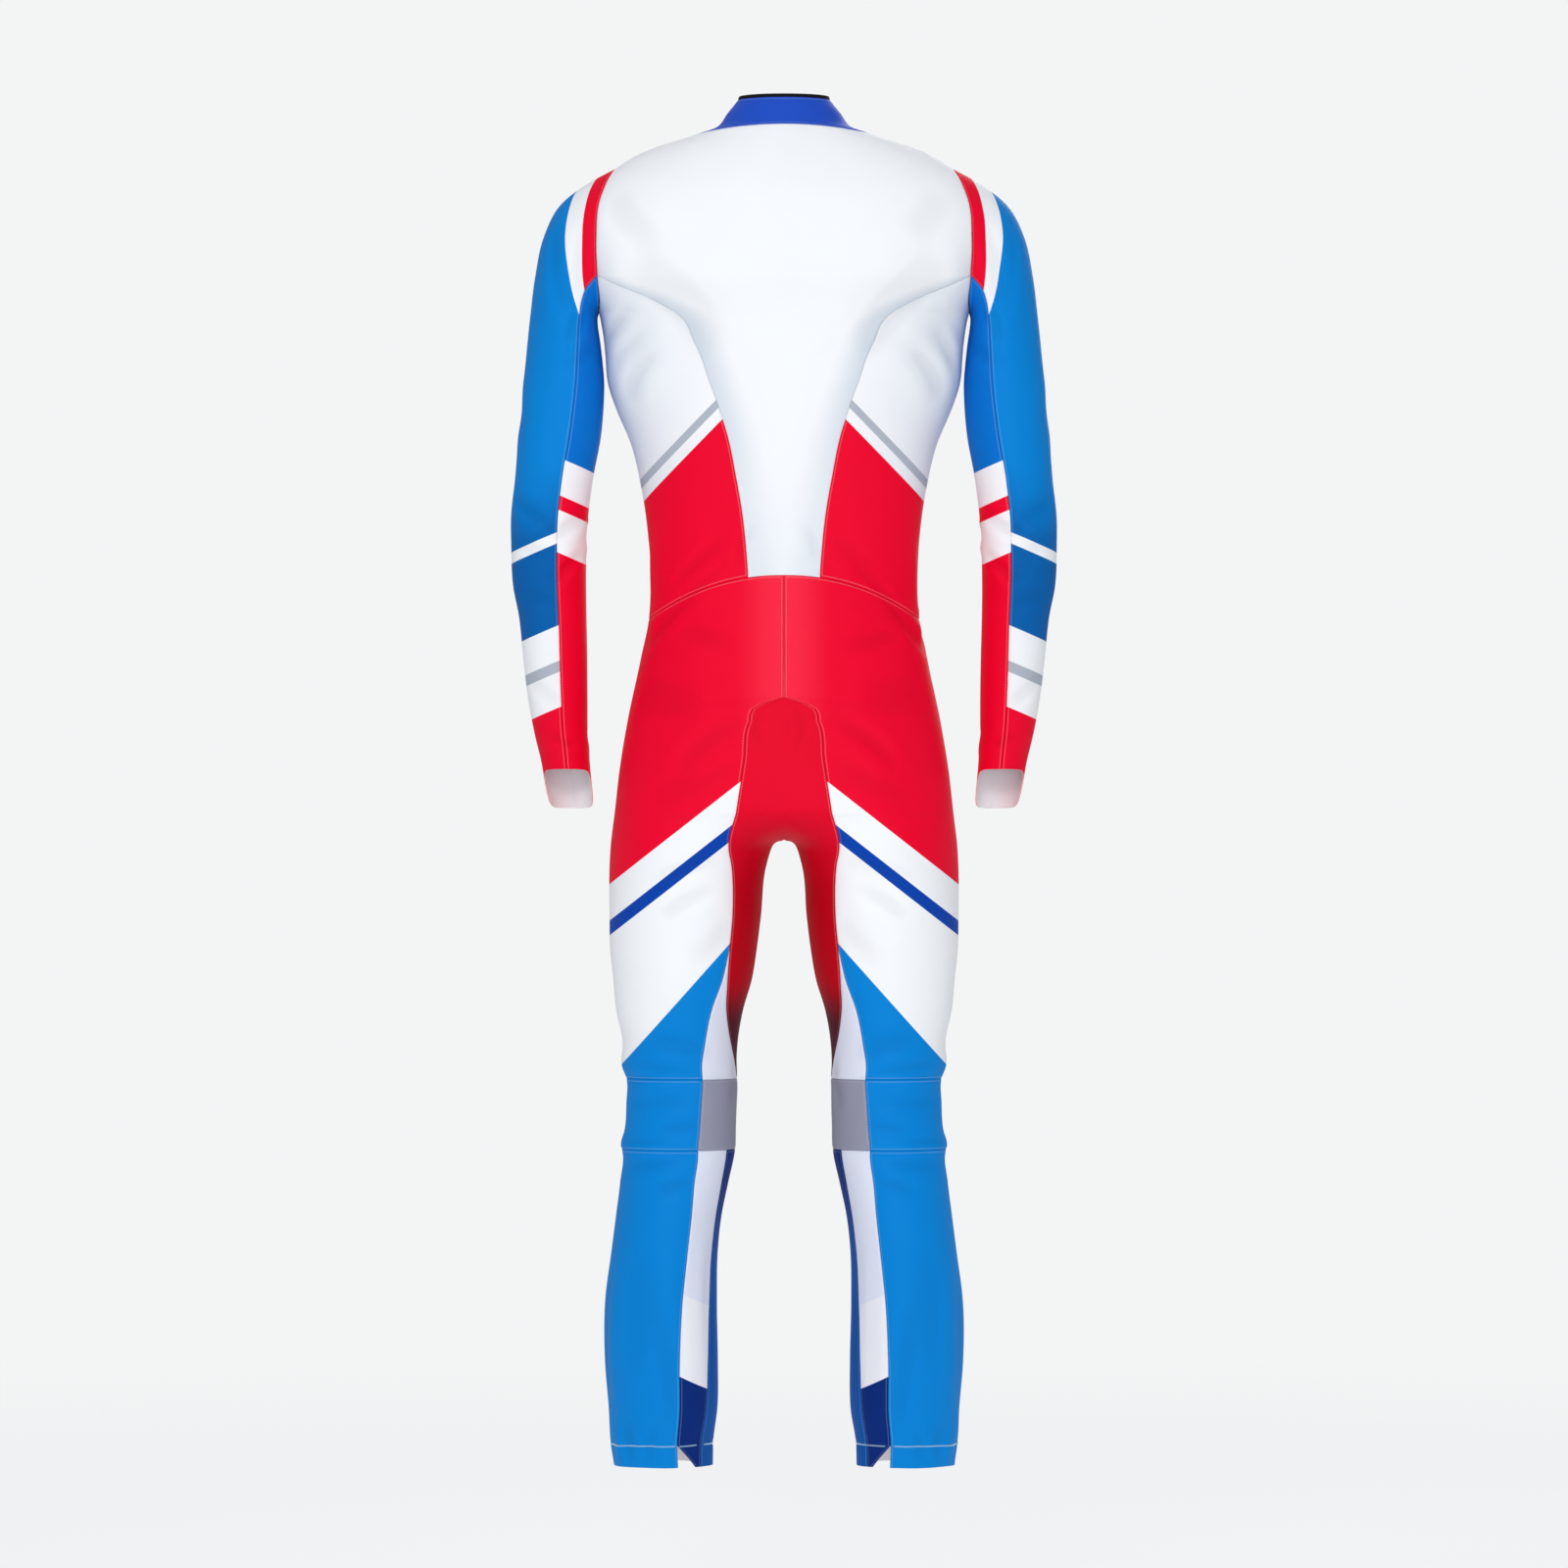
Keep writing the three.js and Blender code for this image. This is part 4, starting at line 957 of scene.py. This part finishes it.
def beyond(edge):
    """The same edge on the front half of its tube, counted on past the inner side."""
    return lambda at: FULL_TURN - edge(at)


def back_edge(side):
    side = numbers(side)
    over = np.where(side < ARMHOLE_TOP, armhole_edge(side), 0)
    return np.where(side > PRINCESS_START - TOUCH, over, PRINCESS(side))


def front_edge(side):
    side = numbers(side)
    return np.where((side < ARMHOLE_TOP) & (side > ARMHOLE_BOTTOM), -armhole_edge(side), 0)


def turn_at_x(half, square, x):
    return np.degrees(np.arccos((x / half) ** (square / 2)))


def zip_edge(side):
    ring = TORSO(side)
    return turn_at_x(ring["half"], ring["square"], ZIP_HALF)


def collar_zip_edge(station):
    return turn_at_x(COLLAR(station)["half"], 2, ZIP_HALF)


def changes_at(height, above, below):
    """An edge that follows one line down to a height and another from there on."""
    return lambda at: np.where(numbers(at) > height + TOUCH, above(at), below(at))


front_centre = changes_at(ZIP_CLOSED, zip_edge, back_line)
back_in = changes_at(GUSSET_BACK_TOP, back_line, GUSSET_ON_BACK)
front_in = changes_at(GUSSET_FRONT_TOP, front_centre, GUSSET_ON_FRONT)
back_turn = changes_at(INSEAM_START, GUSSET_BACK, INSEAM_BACK)
front_turn = changes_at(INSEAM_START, GUSSET_FRONT, INSEAM_FRONT)


def drift(station):
    return SEAM_DRIFT * np.minimum(station, DRIFT_STOPS)


def sleeve_back(station):
    return SLEEVE_BACK_SEAM - drift(station) - SEAM_DRIFT * np.maximum(0, station - FOREARM_STARTS)


def sleeve_front(station):
    return SLEEVE_FRONT_SEAM + drift(station)


def sleeve_front_before(station):
    return sleeve_front(station) - FULL_TURN


def slit(z):
    return INSEAM_BACK(z) + SLIT_TURN * np.maximum(0, (SLIT_TOP - z) / (SLIT_TOP - HEM))


def pair(node, make, material):
    """A panel on the right and its mirror image on the left."""
    for word, side in SIDES.items():
        cloth_piece(f"cloth_{node}_{word}", make(side), material, f"{node}_{word}")


def plain_pair(node, tube, rows, start, end, seams, material):
    """The same for a panel that is one grid."""
    pair(node, lambda side: [grid(tube, rows, start, end, seams, side)], material)


side_rows = UPPER_ROWS[UPPER_ROWS < PRINCESS_START + TOUCH]
back_grids = [grid("torso", UPPER_ROWS, back_edge, back_line, "ltb", side) for side in SIDES.values()]
cloth_piece("cloth_back_centre", back_grids, white_knit, "back_centre")
plain_pair("side_back", "torso", side_rows, mirrored(front_edge), back_edge, "lrb", side_knit)
plain_pair("front", "torso", UPPER_ROWS, mirrored(zip_edge), front_edge, "lrtb", side_knit)
pair("seat_and_thigh", lambda side: [
    grid("torso", HIP_ROWS, side_line, back_in, "lrt", side, THIGH_COLUMNS),
    grid("leg", THIGH_ROWS, side_line, back_turn, "lrb", side, THIGH_COLUMNS),
], seat_knit)
pair("thigh_front", lambda side: [
    grid("torso", HIP_ROWS, mirrored(front_in), side_line, "lrt", side, THIGH_COLUMNS),
    grid("leg", THIGH_ROWS, mirrored(front_turn), side_line, "lrb", side, THIGH_COLUMNS),
], seat_knit)
strip_rows = THIGH_ROWS[THIGH_ROWS < INSEAM_START + TOUCH]
plain_pair("inner_thigh_back", "leg", strip_rows, INSEAM_BACK, GUSSET_BACK, "lrb", pale_knit)
plain_pair("inner_thigh_front", "leg", strip_rows, mirrored(GUSSET_FRONT), mirrored(INSEAM_FRONT), "lrb",
           pale_knit)


def across_gusset(turn):
    """An edge down the gusset's leg that starts at this turn of the seat ring."""
    share = (turn - GUSSET_BACK(SEAT)) / (gusset_front(SEAT) - GUSSET_BACK(SEAT))
    return lambda z: mix(GUSSET_BACK(z), gusset_front(z), share)


gusset_front = beyond(GUSSET_FRONT)
behind, before = across_gusset(CROTCH_TURN), across_gusset(FULL_TURN - CROTCH_TURN)
gusset_back_rows = HIP_ROWS[HIP_ROWS < GUSSET_BACK_TOP + TOUCH]
gusset_front_rows = HIP_ROWS[HIP_ROWS < GUSSET_FRONT_TOP + TOUCH]
gusset_grids = []
for side in SIDES.values():
    gusset_grids += [
        grid("torso", gusset_back_rows, GUSSET_ON_BACK, back_line, "l", side, GUSSET_COLUMNS),
        grid("torso", gusset_front_rows, front_line, mirrored(GUSSET_ON_FRONT), "r", side, GUSSET_COLUMNS),
        grid("leg", THIGH_ROWS, GUSSET_BACK, behind, "lb", side, GUSSET_COLUMNS),
        grid("leg", THIGH_ROWS, behind, before, "b", side),
        grid("leg", THIGH_ROWS, before, gusset_front, "rb", side, GUSSET_COLUMNS),
    ]
cloth_piece("cloth_gusset", gusset_grids, gusset_knit, "gusset")
shin_front, shin_beyond = mirrored(INSEAM_FRONT), beyond(INSEAM_FRONT)
plain_pair("knee_back", "leg", KNEE_ROWS, side_line, INSEAM_BACK, "lrtb", blue_knit)
plain_pair("knee_front", "leg", KNEE_ROWS, shin_front, side_line, "lrtb", blue_knit)
plain_pair("knee_patch", "leg", KNEE_ROWS, INSEAM_BACK, shin_beyond, "lrtb", grey_knit)
plain_pair("calf", "leg", SHIN_ROWS, side_line, INSEAM_BACK, "lrt", blue_knit)
plain_pair("shin", "leg", SHIN_ROWS, shin_front, side_line, "lrt", blue_knit)
plain_pair("calf_strip", "leg", SHIN_ROWS, slit, STRIP_INNER, "lrt", strip_knit)
plain_pair("inner_shin", "leg", SHIN_ROWS, STRIP_INNER, shin_beyond, "lrt", inner_shin_knit)
plain_pair("sleeve_outer", "sleeve", SLEEVE_ROWS, sleeve_front_before, sleeve_back, "lrt", outer_sleeve_knit)
plain_pair("sleeve_inner", "sleeve", SLEEVE_ROWS, sleeve_back, sleeve_front, "lrt", inner_sleeve_knit)


def collar_grids(rows, seams):
    """Both halves of the collar, each from the zip to its side and on to the nape."""
    grids = []
    for side in SIDES.values():
        grids.append(grid("collar", rows, mirrored(collar_zip_edge), side_line, "l" + seams, side))
        grids.append(grid("collar", rows, side_line, back_line, seams, side))
    return grids


cloth_piece("cloth_collar", collar_grids(COLLAR_ROWS, "tb"), collar_knit, "collar")
binding_grids = collar_grids(np.linspace(BINDING_TOP, COLLAR_TOP, BINDING_ROWS), "b")
cloth_piece("cloth_collar_binding", binding_grids, binding_knit, "collar_binding", 2.2, 0.4)
tape_rows = np.concatenate([UPPER_ROWS, HIP_ROWS[(HIP_ROWS < WAIST) & (HIP_ROWS >= ZIP_END)]])
tape_collar_rows = np.linspace(BINDING_TOP, 0, TAPE_ROWS)
pair("zip_tape", lambda side: [
    grid("collar", tape_collar_rows, front_line, mirrored(collar_zip_edge), "r", side),
    grid("torso", tape_rows, front_line, mirrored(zip_edge), "r", side),
], tape_knit)


# Threads and the zip's coil
def tube_piece(name, path, normals, radius, material, sides=5):
    """A thin round thread along a path, lying on the cloth."""
    along = unit(np.gradient(path, axis=0))
    across = unit(np.cross(along, normals))
    up = np.cross(across, along)
    angle = np.linspace(0, 2 * math.pi, sides, endpoint=False)[None, :, None]
    rings = path[:, None] + radius * (np.cos(angle) * across[:, None] + np.sin(angle) * up[:, None])
    i = np.arange(len(path) * sides).reshape(len(path), sides)
    j = np.roll(i, -1, axis=1)
    faces = np.stack([i[:-1], i[1:], j[1:], j[:-1]], axis=2).reshape(-1, 4).tolist()
    faces += [i[0].tolist(), i[-1, ::-1].tolist()]
    mesh = meshed(name, rings.reshape(-1, 3), faces, material)
    mesh.shade_smooth()
    ridden(mesh)


def thread(name, colour):
    made = Tree(name, colour, 0.5, sheen=0.2)
    made.bump(made.noise(2500, 1.0), 0.0001, 0.5)
    return made.finish()


# A zigzag thread round each hem, from one side of the slit to the other
hem_thread = thread("hem_thread", HEM_THREAD)
ZIGZAG = {"wide": 1.5, "long": 3.4, "lift": 0.35, "radius": 0.42, "waver": 0.5, "waver_long": 23}
SLIT_CLEAR = (1.5, 2.5)
for word, side in SIDES.items():
    slit_turn = float(slit(numbers(HEM_STITCH))[0])
    turns = np.linspace(slit_turn + SLIT_CLEAR[0], slit_turn + FULL_TURN - SLIT_CLEAR[1], 720)
    travel = travelled(leg_point(turns, np.full_like(turns, HEM_STITCH)))
    places = np.arange(0, travel[-1], ZIGZAG["long"] / 2)
    turns = np.interp(places, travel, turns)
    heights = HEM_STITCH + ZIGZAG["wide"] * (np.arange(len(places)) % 2 - 0.5)
    heights += ZIGZAG["waver"] * np.sin(places / ZIGZAG["waver_long"])
    point, normal = on_leg(turns, heights)
    point[:, 0] *= side
    normal[:, 0] *= side
    lift = creased(point, "leg", side) + puffed(point) + ZIGZAG["lift"]
    point += normal * lift[:, None]
    tube_piece(f"hem_thread_{word}", point, normal, ZIGZAG["radius"], hem_thread)

# A bar tack closes the cloth at the zip's lower end
tack_thread = thread("tack_thread", BLACK)
TACK = {"middle": -591.0, "half": 7.0, "high": 3.6, "pitch": 0.8, "lift": 0.35, "radius": 0.45}
places = np.arange(-TACK["half"], TACK["half"] + STEP, TACK["pitch"] / 2)
heights = TACK["middle"] + TACK["high"] * (np.arange(len(places)) % 2 - 0.5)
ring = TORSO(heights)
across_zip = turn_at_x(ring["half"], ring["square"], np.maximum(np.abs(places), 0.05))
point, normal = on_torso(-across_zip, heights)
for made in (point, normal):
    made[:, 0] *= np.where(places < 0, -1, 1)
tube_piece("zip_tack", point + normal * TACK["lift"], normal, TACK["radius"], tack_thread)

# The coil runs down both tapes and makes room for the slider
coil = Tree("zip_coil", BLACK, 0.35)
coil.bump(coil.noise(1500, 1.0), 0.00005, 0.4)
TOOTH = {"long": 4.0, "high": 0.8, "wide": 0.95, "pitch": 1.5, "shift": 0.5}
TOOTH_RINGS = ((1.0, 0.12), (1.0, 0.6), (0.7, 1.0))
CORNERS = ((-1, -1), (1, -1), (1, 1), (-1, 1))
SLIDER_KEEPS = 9.0
SLIDER_STATION = 31.0
COIL_START = 1.0
COIL_END = 4.0
stations = np.linspace(BINDING_TOP - COIL_START, 0, 240)
sides_down = np.linspace(NECKLINE, ZIP_END + COIL_END, 2400)
upper, upper_out = on_collar(np.full_like(stations, -QUARTER_TURN), stations)
lower, lower_out = on_torso(np.full_like(sides_down, -QUARTER_TURN), sides_down)
path, out = np.concatenate([upper, lower]), np.concatenate([upper_out, lower_out])
travel = travelled(path)
slider_at = float(np.interp(-SLIDER_STATION, -stations, travel[:len(stations)]))
verts, faces = [], []
for k, place in enumerate(np.arange(COIL_START, travel[-1], TOOTH["pitch"])):
    if abs(place - slider_at) < SLIDER_KEEPS:
        continue
    centre = np.array([np.interp(place, travel, path[:, n]) for n in range(3)])
    normal = unit(np.array([np.interp(place, travel, out[:, n]) for n in range(3)]))
    way = np.array([1.0, 0, 0])
    down = np.cross(normal, way)
    middle = centre + way * TOOTH["shift"] * (1 if k % 2 else -1)
    # A tooth is a bar with sloped ends
    for length, height in TOOTH_RINGS:
        half_long = way * length * TOOTH["long"] / 2
        half_wide = down * min(1.0, 1.3 - 0.5 * height) * TOOTH["wide"] / 2
        lifted = middle + normal * TOOTH["high"] * height
        verts += [lifted + u * half_long + v * half_wide for u, v in CORNERS]
    # Its sides between the rings, then its top and its foot
    base = len(verts) - len(TOOTH_RINGS) * len(CORNERS)
    for low in (base, base + 4):
        faces += [[low + n, low + (n + 1) % 4, low + 4 + (n + 1) % 4, low + 4 + n] for n in range(4)]
    faces += [[base + 8, base + 9, base + 10, base + 11], [base + 3, base + 2, base + 1, base]]
ridden(meshed("zip_coil", np.array(verts), faces, coil.finish()))

# Metal of the zip
metal = Tree("zip_metal", METAL, 0.45, metallic=1.0)
metal.bump(metal.noise(700, 3.0), 0.00005, 0.4)
for name in ("zip_slider", "zip_pull_tab"):
    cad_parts[name].data.materials.clear()
    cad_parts[name].data.materials.append(metal.finish())

# Camera: the photograph's, at eye level with the middle of the suit
EYE = (0, -9.0, -0.707)
FRAME_WIDE = 1.690
SENSOR = 36.0
camera = placed("camera", bpy.data.cameras.new("camera"))
camera.data.sensor_width = SENSOR
camera.data.lens = SENSOR * -EYE[1] / FRAME_WIDE
camera.location = EYE
camera.rotation_euler = (math.radians(QUARTER_TURN), 0, 0)
bpy.context.scene.camera = camera

# Floor, backdrop and light
FLOOR = -1.62
FLOOR_PAINT = (0.13, 0.13, 0.135, 1)
FLOOR_GLOW = 0.88
FLOOR_FADES = (1.2, 5.0)
PALE = (0.90, 0.905, 0.91, 1)
bpy.ops.mesh.primitive_circle_add(vertices=96, radius=6, fill_type="NGON", location=(0, 0, FLOOR))
floor = bpy.context.object
floor.name = "floor"
floor_paint = Tree("floor", FLOOR_PAINT, 0.9)
floor_paint.glow(PALE, FLOOR_GLOW)
reach = floor_paint.node("ShaderNodeVectorMath", operation="LENGTH")
floor_paint.link(floor_paint.node("ShaderNodeTexCoord").outputs["Object"], reach.inputs[0])
fade = floor_paint.node("ShaderNodeMapRange", interpolation_type="SMOOTHSTEP")
floor_paint.link(reach.outputs["Value"], fade.inputs["Value"])
put(fade, {"From Min": FLOOR_FADES[0], "From Max": FLOOR_FADES[1], "To Min": 1.0, "To Max": 0.0})
floor_paint.link(fade.outputs["Result"], floor_paint.shader.inputs["Alpha"])
floor.data.materials.append(floor_paint.finish())
bpy.ops.mesh.primitive_uv_sphere_add(segments=48, ring_count=24, radius=14)
backdrop = bpy.context.object
backdrop.name = "backdrop"
backdrop_paint = Tree("backdrop", (0, 0, 0, 1), 1.0)
backdrop_paint.glow(PALE, 1.0)
backdrop.data.materials.append(backdrop_paint.finish())
backdrop.visible_diffuse = False
backdrop.visible_glossy = False
backdrop.visible_shadow = False

world = bpy.data.worlds.new("studio")
bpy.context.scene.world = world
world.use_nodes = True
put(world.node_tree.nodes["Background"], {"Color": (0.95, 0.975, 1.0, 1), "Strength": 0.5})
bpy.context.scene.view_settings.view_transform = "Standard"


def softbox(name, place, aim, size, power, spread=70):
    light = placed(name, bpy.data.lights.new(name, "AREA"))
    light.data.shape = "RECTANGLE"
    light.data.size, light.data.size_y = size
    light.data.energy = power
    light.data.spread = math.radians(spread)
    light.location = place
    way = np.array(aim) - np.array(place)
    light.rotation_euler = (math.atan2(math.hypot(way[0], way[1]), -way[2]), 0, math.atan2(-way[0], way[1]))
    return light


softbox("key", (-0.6, -3.4, 1.1), (0, 0, -0.6), (1.0, 1.0), 7.2)
softbox("fill", (0.6, -3.4, -0.9), (0, 0, -0.8), (1.2, 2.0), 3.4)
softbox("top", (0, -0.6, 2.4), (0, 0, -0.5), (2.0, 1.6), 7, 180)
softbox("front_key", (0.8, 3.4, 0.6), (0, 0, -0.7), (1.6, 2.0), 9.5)
